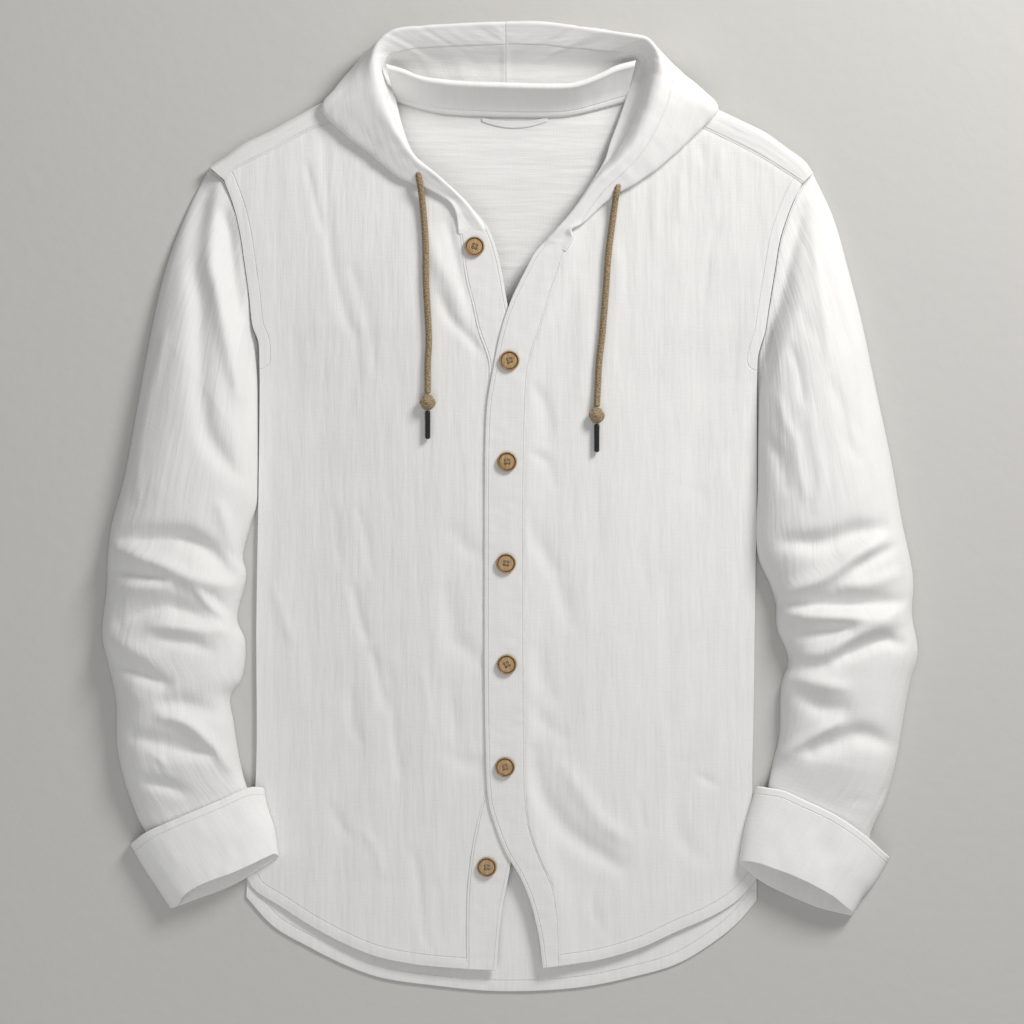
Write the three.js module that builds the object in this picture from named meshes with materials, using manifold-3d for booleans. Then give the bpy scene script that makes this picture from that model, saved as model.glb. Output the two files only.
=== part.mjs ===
// A white hooded shirt, buttoned and laid out flat with its front up.
// Millimetres. X runs across the shirt, Y from the hem to the hood, Z up from
// the surface that it lies on. The wearer's right side is at -X.
import * as THREE from 'three';
import { mergeVertices } from 'three/addons/utils/BufferGeometryUtils.js';
import Module from 'manifold-3d';

// Driving sizes
const CLOTH = 1.6;            // one wall of the double gauze
const BAND = 1.9;             // front bands, two layers and their seam
const CUFF_WALL = 3.0;        // the sleeve's end turned up twice
const SEAM = 0.3;             // space between neighbours at a seam
const BODY_SPAN = 190;        // distance over which a front rises from its side
const BAND_STEP = BAND + SEAM; // the outer band's height over the inner one
const BAND_RAMP = 20;         // width over which a front climbs to the outer band
const SLEEVE_GAP = 0.7;       // space between a sleeve and the body's side
const BACK_SEAM_Y = 178;      // seam between the yoke and the back
const YOKE_FOLD = 6;          // radius of the yoke's fold over the shoulder
const BUTTON_RADIUS = 8.75;
const BUTTON_HEIGHT = 3.2;
const CORD_RADIUS = 2.75;
const TIP_RADIUS = 2.5;
const TIP_LENGTH = 25;
const LAY = 0.35;             // space under what lies loose on a front

// How high the fronts lie over the back, down the middle and along the side.
const LIFT = [
  // y, middle, side
  [-425, 4.6, 0.0],
  [-330, 5.2, 0.0],
  [-250, 8.0, 0.0],
  [-100, 12.5, 0.0],
  [50, 15.0, 0.0],
  [110, 15.5, 1.5],
  [160, 15.5, 6.0],
  [220, 14.5, 9.5],
  [290, 12.5, 10.5],
  [345, 11.0, 10.0],
];

// Outlines of the wearer's right half, x and y.
const RIGHT = {
  sign: -1,
  side: [[-231, -326], [-223.5, -238], [-223, -100], [-221, 25], [-220, 125], [-221, 146]],
  armhole: [[-221, 146], [-226, 160], [-229, 187], [-233, 216], [-236, 237], [-241, 260],
    [-246, 275], [-251, 288]],
  shoulderTip: [-264, 299],
  yokeSeam: [[-251, 288], [-242, 296], [-212, 311], [-190, 323], [-168, 334], [-154, 339],
    [-132, 347]],
  shoulder: [[-264, 299], [-253, 306], [-235, 319], [-212, 330], [-190, 342], [-168, 354],
    [-150, 361], [-134, 365]],
  hem: [[-231, -326], [-224, -336], [-202, -350], [-177, -366], [-145, -383], [-117, -394],
    [-82, -401], [-38, -405]],
  placket: [[-38, -405], [-38, -361], [-37, -330], [-32, -292], [-26, -264], [-21, -245],
    [-18, -204], [-18, 110], [-19, 130], [-28, 156], [-33, 179], [-38, 198], [-41, 216],
    [-44, 241], [-49, 263], [-58, 277], [-78, 289], [-97, 303], [-112, 320], [-124, 338],
    [-132, 347]],
  sleeveOuter: [[-264, 299], [-282, 264], [-302, 211], [-318, 139], [-329, 78], [-339, 25],
    [-350, -16], [-353, -42], [-354, -69], [-358, -112], [-353, -135], [-346, -169],
    [-345, -208], [-339, -238], [-326, -273], [-319, -286], [-316, -302]],
  sleeveInner: [[-221, 146], [-221.2, 25], [-222, 3], [-228, -17], [-234, -43], [-231, -59],
    [-239, -98], [-232, -117], [-235, -150], [-245, -166], [-242, -190], [-237, -221],
    [-231, -243], [-222, -264]],
  cuffTop: [[-334, -296], [-319, -285], [-293, -273], [-253, -256], [-229, -246],
    [-216, -246]],
  cuffRim: [[-299, -352], [-280, -345], [-246, -332], [-219, -316], [-203, -306]],
  cuffOuter: [[-334, -296], [-322, -317], [-314, -329], [-299, -352]],
  cuffInner: [[-216, -246], [-213, -262], [-207, -281], [-203, -306]],
};

// Outlines of the wearer's left half, x and y.
const LEFT = {
  sign: 1,
  side: [[217, -326], [213, -248], [214, -187], [215, -111], [217, 25], [217, 118],
    [218, 134]],
  armhole: [[218, 134], [224, 155], [227, 175], [232, 206], [237, 236], [242, 252],
    [248, 268], [256, 284]],
  shoulderTip: [266, 294],
  yokeSeam: [[256, 284], [241, 294], [220, 307], [187, 324], [168, 333], [150, 341]],
  shoulder: [[266, 294], [259, 304], [243, 316], [225, 329], [205, 339], [184, 349],
    [166, 357], [151, 361]],
  hem: [[217, -326], [201, -344], [179, -358], [147, -372], [116, -386], [78, -397],
    [44, -402]],
  placket: [[44, -402], [42, -355], [37, -330], [28, -311], [18, -283], [14, -251],
    [13, -204], [13, 60], [16, 121], [21, 143], [27, 160], [37, 192], [43, 209],
    [48, 226], [53, 242], [66, 258], [84, 274], [100, 289], [118, 307], [134, 325],
    [150, 341]],
  sleeveOuter: [[266, 294], [284, 255], [297, 210], [309, 163], [320, 111], [335, 40],
    [344, -11], [354, -62], [353, -94], [358, -127], [351, -154], [344, -192],
    [338, -227], [329, -258], [316, -287], [316, -305]],
  sleeveInner: [[218, 134], [217.2, 25], [217, -41], [228, -68], [233, -84], [234, -105],
    [244, -133], [238, -155], [236, -200], [229, -230], [223, -262]],
  cuffTop: [[334, -308], [326, -301], [313, -289], [286, -270], [255, -255], [239, -248],
    [216, -245]],
  cuffRim: [[301, -358], [272, -351], [231, -333], [216, -324], [201, -311]],
  cuffOuter: [[334, -308], [320, -331], [310, -343], [301, -358]],
  cuffInner: [[216, -245], [210, -266], [206, -281], [201, -311]],
};

const BACK_HEM = [[-232, -342], [-208, -368], [-177, -386], [-145, -402], [-114, -413],
  [-67, -420], [-10, -425], [59, -422], [106, -413], [147, -401], [179, -382],
  [201, -364], [217, -345]];
const NECK_SEAM = [[-100, 357], [-86, 353], [-61, 347], [-37, 345], [25, 343.5],
  [52, 345], [79, 351], [102, 357]];
const NECK_FOLD = [[-104, 386], [-92, 382], [-79, 376], [-61, 373], [-37, 371], [-6, 370],
  [32, 369], [56, 370], [79, 378], [92, 385], [105.5, 389]];

// Free edges of the two front bands, from the hem up.
const INNER_BAND_EDGE = [[-12, -406], [-10, -380], [-7, -352], [0, -316], [6, -270],
  [10, -230], [11, -180], [11, 60], [9, 110], [5, 145], [-2, 177], [-8, 210], [-13, 230],
  [-19, 245], [-28, 257], [-40, 268]];
const OUTER_BAND_EDGE = [[29, -404], [25, -374], [18, -346], [9, -324], [-4, -302],
  [-15, -273], [-19, -257], [-21.6, -203], [-22.4, -61], [-21.6, 60], [-20, 91],
  [-15, 121], [-8, 155], [1, 182], [14, 209], [23, 225], [38, 240]];
const FRONT_ROWS = 27;
const FRONT_COLUMNS = 13;
const INNER_BAND_ROWS = 23;   // rows of the right front that its band runs along
const OUTER_BAND_ROWS = 22;   // rows of the left front that its band runs along

// Sections of the hood from the front to the centre back: the rim, the edge in the
// neck hole, the outer fold, the heights of rim and neck edge, and the share of the
// front's height that the fold lies on.
const HOOD_RIGHT = [
  // rimX, rimY, neckX, neckY, outX, outY, rimZ, neckZ, rest
  [-38, 266.5, -36.5, 266, -50, 265, 21, 18.6, 1.02],
  [-61, 289, -59, 286, -74, 281, 25, 18.0, 1],
  [-82, 306, -78, 301, -97, 290, 29, 16.0, 1],
  [-96, 326, -89, 318, -120, 309, 32, 12.0, 1],
  [-106, 344, -96, 339, -144, 328, 34, 9.0, 1],
  [-113, 362, -100, 356, -164, 349, 36, 7.0, 1.02],
  [-117, 380, -104, 370, -153, 367, 37, 8.0, 0.85],
  [-118, 393, -106, 379, -138, 385, 37, 9.0, 0.35],
  [-113, 407, -100, 380, -124, 401, 37, 10.0, 0.15],
  [-100, 417, -88, 373, -106, 412, 37, 10.0, 0.12],
  [-78, 420, -74, 370, -80, 413, 36, 10.0, 0.12],
  [-50, 422, -48, 368, -51, 415, 36, 10.0, 0.12],
  [-25, 423, -25, 367, -25, 416, 36, 10.0, 0.12],
  [-4.2, 424, -4.2, 366, -4.2, 416.5, 36, 10.0, 0.12],
];
const HOOD_LEFT = [
  [41.5, 244, 41, 243, 53.5, 244.5, 22, 19.5, 1.14],
  [57, 262, 55, 260, 65, 251, 25, 18.8, 1.1],
  [75, 286, 71, 284, 88, 272, 29, 17.0, 1.06],
  [94, 303, 83, 304, 114, 287, 32, 13.0, 1.03],
  [108, 320, 88, 320, 141, 308, 34, 10.0, 1],
  [119, 342, 95, 339, 169, 335, 36, 8.0, 1.02],
  [126, 362, 101, 356, 181, 351, 37, 7.0, 1.04],
  [130, 380, 106, 372, 165, 369, 37, 8.0, 0.8],
  [129, 396, 107, 384, 144, 387, 37, 9.0, 0.3],
  [120, 409, 100, 384, 128, 402, 37, 10.0, 0.15],
  [104, 413, 90, 379, 108, 408, 37, 10.0, 0.12],
  [79, 417, 77, 373, 80, 410, 36, 10.0, 0.12],
  [52, 421, 50, 368, 52, 414, 36, 10.0, 0.12],
  [25, 424, 25, 366, 25, 416, 36, 10.0, 0.12],
  [-3.8, 424, -3.8, 366, -3.8, 416.5, 36, 10.0, 0.12],
];
const HOOD_WALL = 2.0;

// The sleeves' largest folds: depth (below 0 is a trough), half-width, then x and y
// pairs along the fold.
const FOLDS_RIGHT = [
  [-7, 12, [-338, -27], [-293, -25], [-262, -34], [-240, -54]],
  [5, 9, [-350, -36], [-299, -49], [-250, -64]],
  [-5, 11, [-345, -98], [-305, -83], [-270, -98], [-250, -104]],
  [4, 9, [-310, -100], [-275, -105], [-244, -109]],
  [-4, 10, [-350, -126], [-312, -147], [-273, -169], [-246, -160]],
  [4, 10, [-307, -182], [-280, -187], [-260, -205], [-240, -232]],
  [-4, 9, [-334, -196], [-300, -206], [-267, -216]],
];
const FOLDS_LEFT = [
  [-6, 10, [240, -28], [271, -25], [302, -17], [326, -20]],
  [5, 10, [333, -22], [302, -40], [277, -55], [234, -80]],
  [-6, 9, [238, -86], [282, -84], [344, -83]],
  [5, 8, [245, -96], [296, -99], [350, -91]],
  [4, 8, [265, -128], [308, -109], [348, -97]],
  [-4, 10, [243, -159], [268, -169], [300, -172]],
  [4, 11, [236, -216], [279, -187], [326, -181]],
  [-4, 10, [266, -208], [293, -196], [337, -209]],
];
const SLEEVE_HEIGHT = [
  // share of the sleeve's length, height of its upper side
  [0, 15], [0.1, 24], [0.25, 34], [0.45, 38], [0.6, 37], [0.75, 35], [0.88, 30],
  [0.95, 22], [1, 20],
];
const CUFF_HEIGHT = 27;
const CUFF_REST = 4.8;        // height of a cuff's inner end, on the body
const CUFF_START = 0.955;     // share of the sleeve's length where the cuff begins

const BUTTONS = [
  // x, y, on the outer band
  [-31, 229, false], [-0.5, 129, true], [-2.6, 40.5, true], [-3.5, -48.4, true],
  [-2.8, -137, true], [-4.4, -227, true], [-20.4, -315, false],
];
// Each cord from the hood's eyelet down: x, y and height over the front.
const CORD_RIGHT = [[-80, 292, 13.5], [-79, 283, 10.5], [-77.5, 274, 5], [-76, 262, 1.2],
  [-74, 234, 0.3], [-73.5, 198, 0], [-72, 171, 0], [-71, 145, 0], [-72, 127, 0],
  [-72, 110, 0.6], [-72, 99.8, 2]];
const CORD_LEFT = [[95, 282, 13.5], [93, 273, 10], [91.5, 263, 5], [90, 252, 1.4],
  [86, 220, 0.3], [84, 191, 0], [81, 154, 0], [78, 127, 0], [77, 108, 0.4],
  [76.4, 97, 1.2], [76, 88.3, 2]];
const KNOT = [6.5, 7, 5];     // half sizes of a cord's end knot

const COLOR = { cloth: 0xf2f2ef, wood: 0xb08850, cord: 0x9a7a4e, tip: 0x141414 };

// Small maths
const clamp = (v, low = 0, high = 1) => Math.min(high, Math.max(low, v));
const mix = (a, b, t) => a + (b - a) * t;
const smooth = (t) => clamp(t) ** 2 * (3 - 2 * clamp(t));

// Value in column c of a table whose first column rises.
function lookup(table, key, c = 1) {
  const last = table.length - 1;
  if (key <= table[0][0]) return table[0][c];
  if (key >= table[last][0]) return table[last][c];
  const i = table.findIndex((row) => row[0] >= key);
  const [low, high] = [table[i - 1], table[i]];
  return mix(low[c], high[c], (key - low[0]) / (high[0] - low[0]));
}

// A smooth curve through x, y pairs, read by share of its length.
function rail(points) {
  const curve = new THREE.CatmullRomCurve3(
    points.map(([x, y]) => new THREE.Vector3(x, y, 0)), false, 'centripetal');
  curve.arcLengthDivisions = 20 * points.length;
  return (t) => {
    const p = curve.getPointAt(clamp(t));
    return [p.x, p.y];
  };
}

// A polyline moved sideways by d, to its left as it runs.
function beside(points, d) {
  return points.map((p, i) => {
    const a = points[Math.max(0, i - 1)];
    const b = points[Math.min(points.length - 1, i + 1)];
    const length = Math.hypot(b[0] - a[0], b[1] - a[1]);
    return [p[0] - (b[1] - a[1]) / length * d, p[1] + (b[0] - a[0]) / length * d];
  });
}

// A surface patch in plan between four curves that share their corners: from and to
// run with s, first and last with t.
function patch(from, to, first, last) {
  const corner = [from(0), from(1), to(0), to(1)];
  return (s, t) => [0, 1].map((k) =>
    mix(first(t)[k], last(t)[k], s) + mix(from(s)[k], to(s)[k], t)
    - mix(mix(corner[0][k], corner[1][k], s), mix(corner[2][k], corner[3][k], s), t));
}

// Closed body from vertices and triangles, turned to face out.
function body(points, triangles) {
  let volume = 0;
  const [a, b, c] = [new THREE.Vector3(), new THREE.Vector3(), new THREE.Vector3()];
  for (const [i, j, k] of triangles) {
    a.fromArray(points[i]);
    b.fromArray(points[j]);
    c.fromArray(points[k]);
    volume += a.dot(b.cross(c));
  }
  const faces = volume < 0 ? triangles.map(([i, j, k]) => [i, k, j]) : triangles;
  const geometry = new THREE.BufferGeometry();
  geometry.setAttribute('position', new THREE.Float32BufferAttribute(points.flat(), 3));
  geometry.setIndex(faces.flat());
  return geometry;
}

// Wall between two grids of points with the same rows and columns.
function wall(top, bottom) {
  const [rows, columns] = [top.length, top[0].length];
  const points = [...top.flat(), ...bottom.flat()];
  const at = (side, i, j) => side * rows * columns + i * columns + j;
  const triangles = [];
  const quad = (p, q, r, s) => triangles.push([p, q, r], [p, r, s]);
  for (let i = 0; i < rows - 1; i += 1) {
    for (let j = 0; j < columns - 1; j += 1) {
      quad(at(0, i, j), at(0, i, j + 1), at(0, i + 1, j + 1), at(0, i + 1, j));
      quad(at(1, i, j), at(1, i + 1, j), at(1, i + 1, j + 1), at(1, i, j + 1));
    }
    quad(at(0, i, 0), at(0, i + 1, 0), at(1, i + 1, 0), at(1, i, 0));
    const end = columns - 1;
    quad(at(0, i, end), at(1, i, end), at(1, i + 1, end), at(0, i + 1, end));
  }
  for (let j = 0; j < columns - 1; j += 1) {
    quad(at(0, 0, j), at(1, 0, j), at(1, 0, j + 1), at(0, 0, j + 1));
    const end = rows - 1;
    quad(at(0, end, j), at(0, end, j + 1), at(1, end, j + 1), at(1, end, j));
  }
  return body(points, triangles);
}

// Wall of even thickness about a grid of points, never below the surface.
function sheet(grid, thickness) {
  const rows = grid.length;
  const columns = grid[0].length;
  const point = (i, j) => new THREE.Vector3().fromArray(
    grid[clamp(i, 0, rows - 1)][clamp(j, 0, columns - 1)]);
  const offset = (half) => grid.map((row, i) => row.map((_, j) => {
    const along = point(i + 1, j).sub(point(i - 1, j));
    const across = point(i, j + 1).sub(point(i, j - 1));
    const moved = along.cross(across).normalize().multiplyScalar(half).add(point(i, j));
    return [moved.x, moved.y, Math.max(0, moved.z)];
  }));
  return wall(offset(thickness / 2), offset(-thickness / 2));
}

// Open tube from outer and inner rings.
function tube(outer, inner) {
  const count = outer[0].length;
  const rows = outer.length;
  const points = [...outer.flat(), ...inner.flat()];
  const at = (side, i, j) => side * rows * count + i * count + j % count;
  const triangles = [];
  const quad = (p, q, r, s) => triangles.push([p, q, r], [p, r, s]);
  for (let j = 0; j < count; j += 1) {
    for (let i = 0; i < rows - 1; i += 1) {
      quad(at(0, i, j), at(0, i, j + 1), at(0, i + 1, j + 1), at(0, i + 1, j));
      quad(at(1, i, j), at(1, i + 1, j), at(1, i + 1, j + 1), at(1, i, j + 1));
    }
    quad(at(0, 0, j), at(1, 0, j), at(1, 0, j + 1), at(0, 0, j + 1));
    const end = rows - 1;
    quad(at(0, end, j), at(0, end, j + 1), at(1, end, j + 1), at(1, end, j));
  }
  return body(points, triangles);
}

// A closed section of width and height pairs, drawn in by d. It runs clockwise.
function inset(section, d) {
  const count = section.length;
  const normal = (p, q) => {
    const length = Math.hypot(q[0] - p[0], q[1] - p[1]) || 1;
    return [(q[1] - p[1]) / length, -(q[0] - p[0]) / length];
  };
  return section.map((p, i) => {
    const n = normal(section[(i + count - 1) % count], p);
    const m = normal(p, section[(i + 1) % count]);
    const sum = [n[0] + m[0], n[1] + m[1]];
    const size = Math.hypot(...sum) || 1;
    const cosine = Math.max(0.7, (sum[0] * n[0] + sum[1] * n[1]) / size);
    return [p[0] + sum[0] / size * d / cosine, p[1] + sum[1] / size * d / cosine];
  });
}

// Body height over the surface
const sideRails = { '-1': [...RIGHT.side, ...RIGHT.armhole.slice(1)],
  1: [...LEFT.side, ...LEFT.armhole.slice(1)] };
const byHeight = (points) => points.map(([x, y]) => [y, x]);
const SIDE_X = { '-1': byHeight(sideRails[-1]), 1: byHeight(sideRails[1]) };

function lift(x, y) {
  const edge = lookup(SIDE_X[x < 0 ? -1 : 1], y);
  const inward = clamp(Math.abs(x - edge) / BODY_SPAN);
  const dome = Math.sin(inward * Math.PI / 2) ** 1.4;
  return mix(lookup(LIFT, y, 2), lookup(LIFT, y, 1), dome);
}
const under = (x, y) => CLOTH + SEAM + lift(x, y);

// Fronts, from the side seam to the band's seam
function front(half) {
  const climbs = half.sign > 0;
  const side = rail([...half.side, ...half.armhole.slice(1)]);
  const edge = rail(beside(half.placket, half.sign * -SEAM / 2));
  const fit = (points) => {
    const ends = points.map((p) => [...p]);
    ends[ends.length - 1] = points === half.hem ? edge(0) : edge(1);
    return rail(ends);
  };
  const plan = patch(fit(half.hem), fit(half.yokeSeam), side, edge);
  const width = Math.abs(edge(0.5)[0] - side(0.5)[0]);
  const surface = (thick) => Array.from({ length: FRONT_ROWS }, (_, i) =>
    Array.from({ length: FRONT_COLUMNS }, (_unused, j) => {
      const s = j / (FRONT_COLUMNS - 1);
      const [x, y] = plan(s, i / (FRONT_ROWS - 1));
      const alongBand = 1 - smooth((i - OUTER_BAND_ROWS) / 2);
      const near = 1 - smooth((1 - s) * width / BAND_RAMP);
      const climb = climbs ? BAND_STEP * near * alongBand : 0;
      return [x, y, under(x, y) + climb + thick];
    }));
  return wall(surface(CLOTH), surface(0));
}

// Bands, ribbons between their seam and their free edge, row by row with the front
function band(half, free, rows, step) {
  const seam = rail(beside(half.placket, half.sign * SEAM / 2));
  const edge = rail(free);
  const COLUMNS = 3;
  const surface = (thick) => Array.from({ length: rows }, (_, i) =>
    Array.from({ length: COLUMNS }, (_unused, j) => {
      const [a, b] = [seam(i / (FRONT_ROWS - 1)), edge(i / (rows - 1))];
      const s = j / (COLUMNS - 1);
      const [x, y] = [0, 1].map((k) => mix(a[k], b[k], s));
      return [x, y, under(x, y) + step + thick];
    }));
  return wall(surface(BAND), surface(0));
}

// Flat plate from a plan outline
function plate(points, thickness) {
  const shape = new THREE.Shape(points.map(([x, y]) => new THREE.Vector2(x, y)));
  return new THREE.ExtrudeGeometry(shape, { depth: thickness, bevelEnabled: false });
}

function back() {
  const below = (half) => sideRails[half.sign].filter(([, y]) => y < BACK_SEAM_Y - 5);
  const seamX = (half) => lookup(SIDE_X[half.sign], BACK_SEAM_Y);
  const y = BACK_SEAM_Y - SEAM / 2;
  return plate([
    ...below(RIGHT), [seamX(RIGHT), y], [seamX(LEFT), y], ...below(LEFT).reverse(),
    ...[...BACK_HEM].reverse(),
  ], CLOTH);
}

const wasm = await Module();
wasm.setup();

// Joins closed bodies that overlap into one.
function join(geometries) {
  const parts = geometries.map((geometry) => {
    const plain = geometry.clone();
    plain.deleteAttribute('normal');
    plain.deleteAttribute('uv');
    const merged = mergeVertices(plain, 1e-4);
    return new wasm.Manifold(new wasm.Mesh({
      numProp: 3,
      vertProperties: new Float32Array(merged.attributes.position.array),
      triVerts: new Uint32Array(merged.index.array),
    }));
  });
  return parts.reduce((sum, next) => sum.add(next));
}

function fromManifold(solid) {
  const mesh = solid.getMesh();
  const geometry = new THREE.BufferGeometry();
  geometry.setAttribute('position', new THREE.BufferAttribute(mesh.vertProperties, 3));
  geometry.setIndex(new THREE.BufferAttribute(mesh.triVerts, 1));
  return geometry;
}

// The yoke's strip over a shoulder, from its seam on the front to the back plate
function shoulderStrip(half) {
  const seam = rail(beside(half.yokeSeam, half.sign * -SEAM));
  const fold = rail(half.shoulder);
  const grid = Array.from({ length: FRONT_COLUMNS }, (_, i) => {
    const t = i / (FRONT_COLUMNS - 1);
    const [a, b] = [seam(t), fold(t)];
    const width = Math.hypot(b[0] - a[0], b[1] - a[1]);
    const high = under(a[0], a[1]) + CLOTH / 2;
    const low = CLOTH / 2;
    const middle = (high + low) / 2;
    const round = (high - low) / 2;
    const inner = 1 - round / width;
    const at = (s, z) => [mix(a[0], b[0], s), mix(a[1], b[1], s), z];
    const arc = [30, 60, 90, 120, 150].map((degrees) => {
      const turn = degrees * Math.PI / 180;
      return at(inner + Math.sin(turn) * round / width, middle + Math.cos(turn) * round);
    });
    return [at(0, high), at(inner / 2, high), at(inner, high), ...arc, at(inner, low),
      at(inner - YOKE_FOLD / width, low)];
  });
  return sheet(grid, CLOTH);
}

function yoke() {
  const above = (half) => half.armhole.filter(([, y]) => y > BACK_SEAM_Y + 5);
  const inward = (half) => beside(half.shoulder, half.sign * YOKE_FOLD * 1.4).slice(1);
  const y = BACK_SEAM_Y + SEAM / 2;
  const seamX = (half) => lookup(SIDE_X[half.sign], BACK_SEAM_Y);
  const outline = [
    [seamX(RIGHT), y], ...above(RIGHT), ...inward(RIGHT), [-104, 360], ...NECK_SEAM,
    [106, 360], ...inward(LEFT).reverse(), ...above(LEFT).reverse(), [seamX(LEFT), y],
  ];
  return fromManifold(join([plate(outline, CLOTH), shoulderStrip(RIGHT), shoulderStrip(LEFT)]));
}

// Sum of the folds at a point in plan
function foldRise(folds, x, y) {
  let rise = 0;
  for (const [depth, half, ...points] of folds) {
    let nearest = Infinity;
    for (let i = 0; i < points.length - 1; i += 1) {
      const [a, b] = [points[i], points[i + 1]];
      const [dx, dy] = [b[0] - a[0], b[1] - a[1]];
      const t = clamp(((x - a[0]) * dx + (y - a[1]) * dy) / (dx * dx + dy * dy));
      nearest = Math.min(nearest, Math.hypot(x - a[0] - dx * t, y - a[1] - dy * t));
    }
    rise += depth * Math.exp(-((nearest / half) ** 2));
  }
  return rise;
}

// Rings of a flattened tube: plan places them, top and base give its heights.
function flatTube(plan, shares, thickness, top, base) {
  const TOP = 13;
  const BOTTOM = 5;
  const spread = (count) => Array.from({ length: count + 1 }, (_, j) =>
    (1 - Math.cos(Math.PI * j / count)) / 2);
  const rings = shares.map((t) => {
    const [a, b] = [plan(0, t), plan(1, t)];
    const width = Math.hypot(b[0] - a[0], b[1] - a[1]);
    const upper = spread(TOP).map((s) => [s * width, top(s, t)]);
    const lower = spread(BOTTOM).slice(1, -1).reverse().map((s) => [s * width, base(s, t)]);
    const section = [...upper, ...lower];
    const place = ([w, z]) => [...plan(clamp(w / width), t), z];
    return [section.map(place), inset(section, thickness).map(place)];
  });
  return tube(rings.map((r) => r[0]), rings.map((r) => r[1]));
}

const arch = (s) => (1 - Math.abs(2 * s - 1) ** 2.6) ** 0.5;

function sleeve(half, folds) {
  const away = (points) => points.map(([x, y]) => [x + half.sign * SLEEVE_GAP, y]);
  const armhole = [half.shoulderTip, ...[...half.armhole].reverse()];
  const outer = rail(away(half.sleeveOuter));
  const inner = rail(away(half.sleeveInner));
  const end = (s) => [0, 1].map((k) => mix(outer(1)[k], inner(1)[k], s));
  const plan = patch(rail(away(armhole)), end, outer, inner);
  const base = (s, t) => {
    const inCuff = CUFF_WALL + 2 * SEAM + CUFF_REST * smooth((s - 0.1) / 0.45);
    return inCuff * smooth((t - 0.9) / (CUFF_START - 0.9));
  };
  const top = (s, t) => {
    const [x, y] = plan(s, t);
    const seam = CLOTH + SEAM + CLOTH + lookup(LIFT, y, 2);
    const height = mix(seam, lookup(SLEEVE_HEIGHT, t), smooth(t / 0.12));
    const fold = foldRise(folds, x, y) * arch(s) * (1 - smooth((t - 0.9) / 0.05));
    const low = base(s, t);
    return low + (height - low) * arch(s) + fold;
  };
  const shares = [0, 0.03, 0.08, 0.14, 0.21, 0.28, 0.35, 0.41, 0.46, 0.49, 0.52, 0.545, 0.57,
    0.595, 0.62, 0.645, 0.67, 0.695, 0.72, 0.75, 0.78, 0.81, 0.84, 0.87, 0.9, 0.93,
    CUFF_START, 1];
  return flatTube(plan, shares, CLOTH, top, base);
}

function cuff(half) {
  const plan = patch(rail(half.cuffTop), rail(half.cuffRim), rail(half.cuffOuter),
    rail(half.cuffInner));
  const base = (s) => CUFF_REST * smooth((s - 0.4) / 0.32);
  const top = (s) => base(s) + (CUFF_HEIGHT - base(s)) * arch(s);
  const shares = [0, 0.25, 0.5, 0.75, 1];
  return flatTube(plan, shares, CUFF_WALL, top, base);
}

// Hood, a folded sheet from its edge in the neck hole over the rim to the tuck
function hood(rows) {
  const STATIONS = 19;
  const columns = rows[0].map((_, c) => rows.map((row) => row[c]));
  const spaced = (c, t) => {
    const at = t * (rows.length - 1);
    const i = Math.min(rows.length - 2, Math.floor(at));
    const values = [i - 1, i, i + 1, i + 2].map((k) => columns[c][clamp(k, 0, rows.length - 1)]);
    const f = at - i;
    const [p, q, r, s] = values;
    return q + 0.5 * f * (r - p + f * (2 * p - 5 * q + 4 * r - s + f * (3 * (q - r) + s - p)));
  };
  const grid = Array.from({ length: STATIONS }, (_, i) => {
    const t = i / (STATIONS - 1);
    const [rx, ry, nx, ny, ox, oy, rimZ, neckZ, rest] = rows[0].map((_c, c) => spaced(c, t));
    const width = Math.hypot(ox - rx, oy - ry);
    const tuck = clamp(0.65 * width, 4, 22) / width;
    const inside = (s, z) => new THREE.Vector3(mix(nx, rx, s), mix(ny, ry, s), z);
    const outside = (s, z) => new THREE.Vector3(mix(rx, ox, s), mix(ry, oy, s), z);
    const low = rest * frontTop(ox, oy) + LAY + HOOD_WALL / 2;
    const drop = rimZ - low;
    const section = new THREE.CatmullRomCurve3([
      inside(0, neckZ), inside(0.35, mix(neckZ, rimZ, 0.14)), inside(0.64, mix(neckZ, rimZ, 0.62)),
      inside(0.9, rimZ - 2), outside(0.06, rimZ), outside(0.3, rimZ - 0.16 * drop),
      outside(0.65, rimZ - 0.42 * drop), outside(1, low + Math.max(2, 0.25 * drop)),
      outside(1 - 0.25 * tuck, low + 0.4), outside(1 - tuck, low),
    ], false, 'centripetal');
    return section.getPoints(15).map((p) => [p.x, p.y, p.z]);
  });
  return sheet(grid, HOOD_WALL);
}

function neckband() {
  const ROWS = 14;
  const seam = rail(beside(NECK_SEAM, SEAM));
  const fold = rail(NECK_FOLD);
  const steps = [[0, 2.9], [0.3, 9], [0.65, 19], [0.92, 26.5], [1, 28.5]];
  const grid = Array.from({ length: ROWS }, (_, i) => {
    const t = i / (ROWS - 1);
    return steps.map(([s, z]) => [mix(seam(t)[0], fold(t)[0], s), mix(seam(t)[1], fold(t)[1], s), z]);
  });
  return sheet(grid, BAND);
}

function hangerLoop() {
  const [LENGTH, WIDTH, THICK, SAG] = [58, 6, 1.2, 2.5];
  const STEPS = 8;
  const grid = Array.from({ length: STEPS + 1 }, (_, i) => {
    const t = i / STEPS;
    const bow = Math.sin(Math.PI * t);
    const x = -25 + LENGTH * t;
    const y = 342 - SAG * bow;
    const z = CLOTH + SEAM + THICK / 2 + 1.2 * bow;
    return [[x, y, z], [x, y - WIDTH, z]];
  });
  return sheet(grid, THICK);
}

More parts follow.
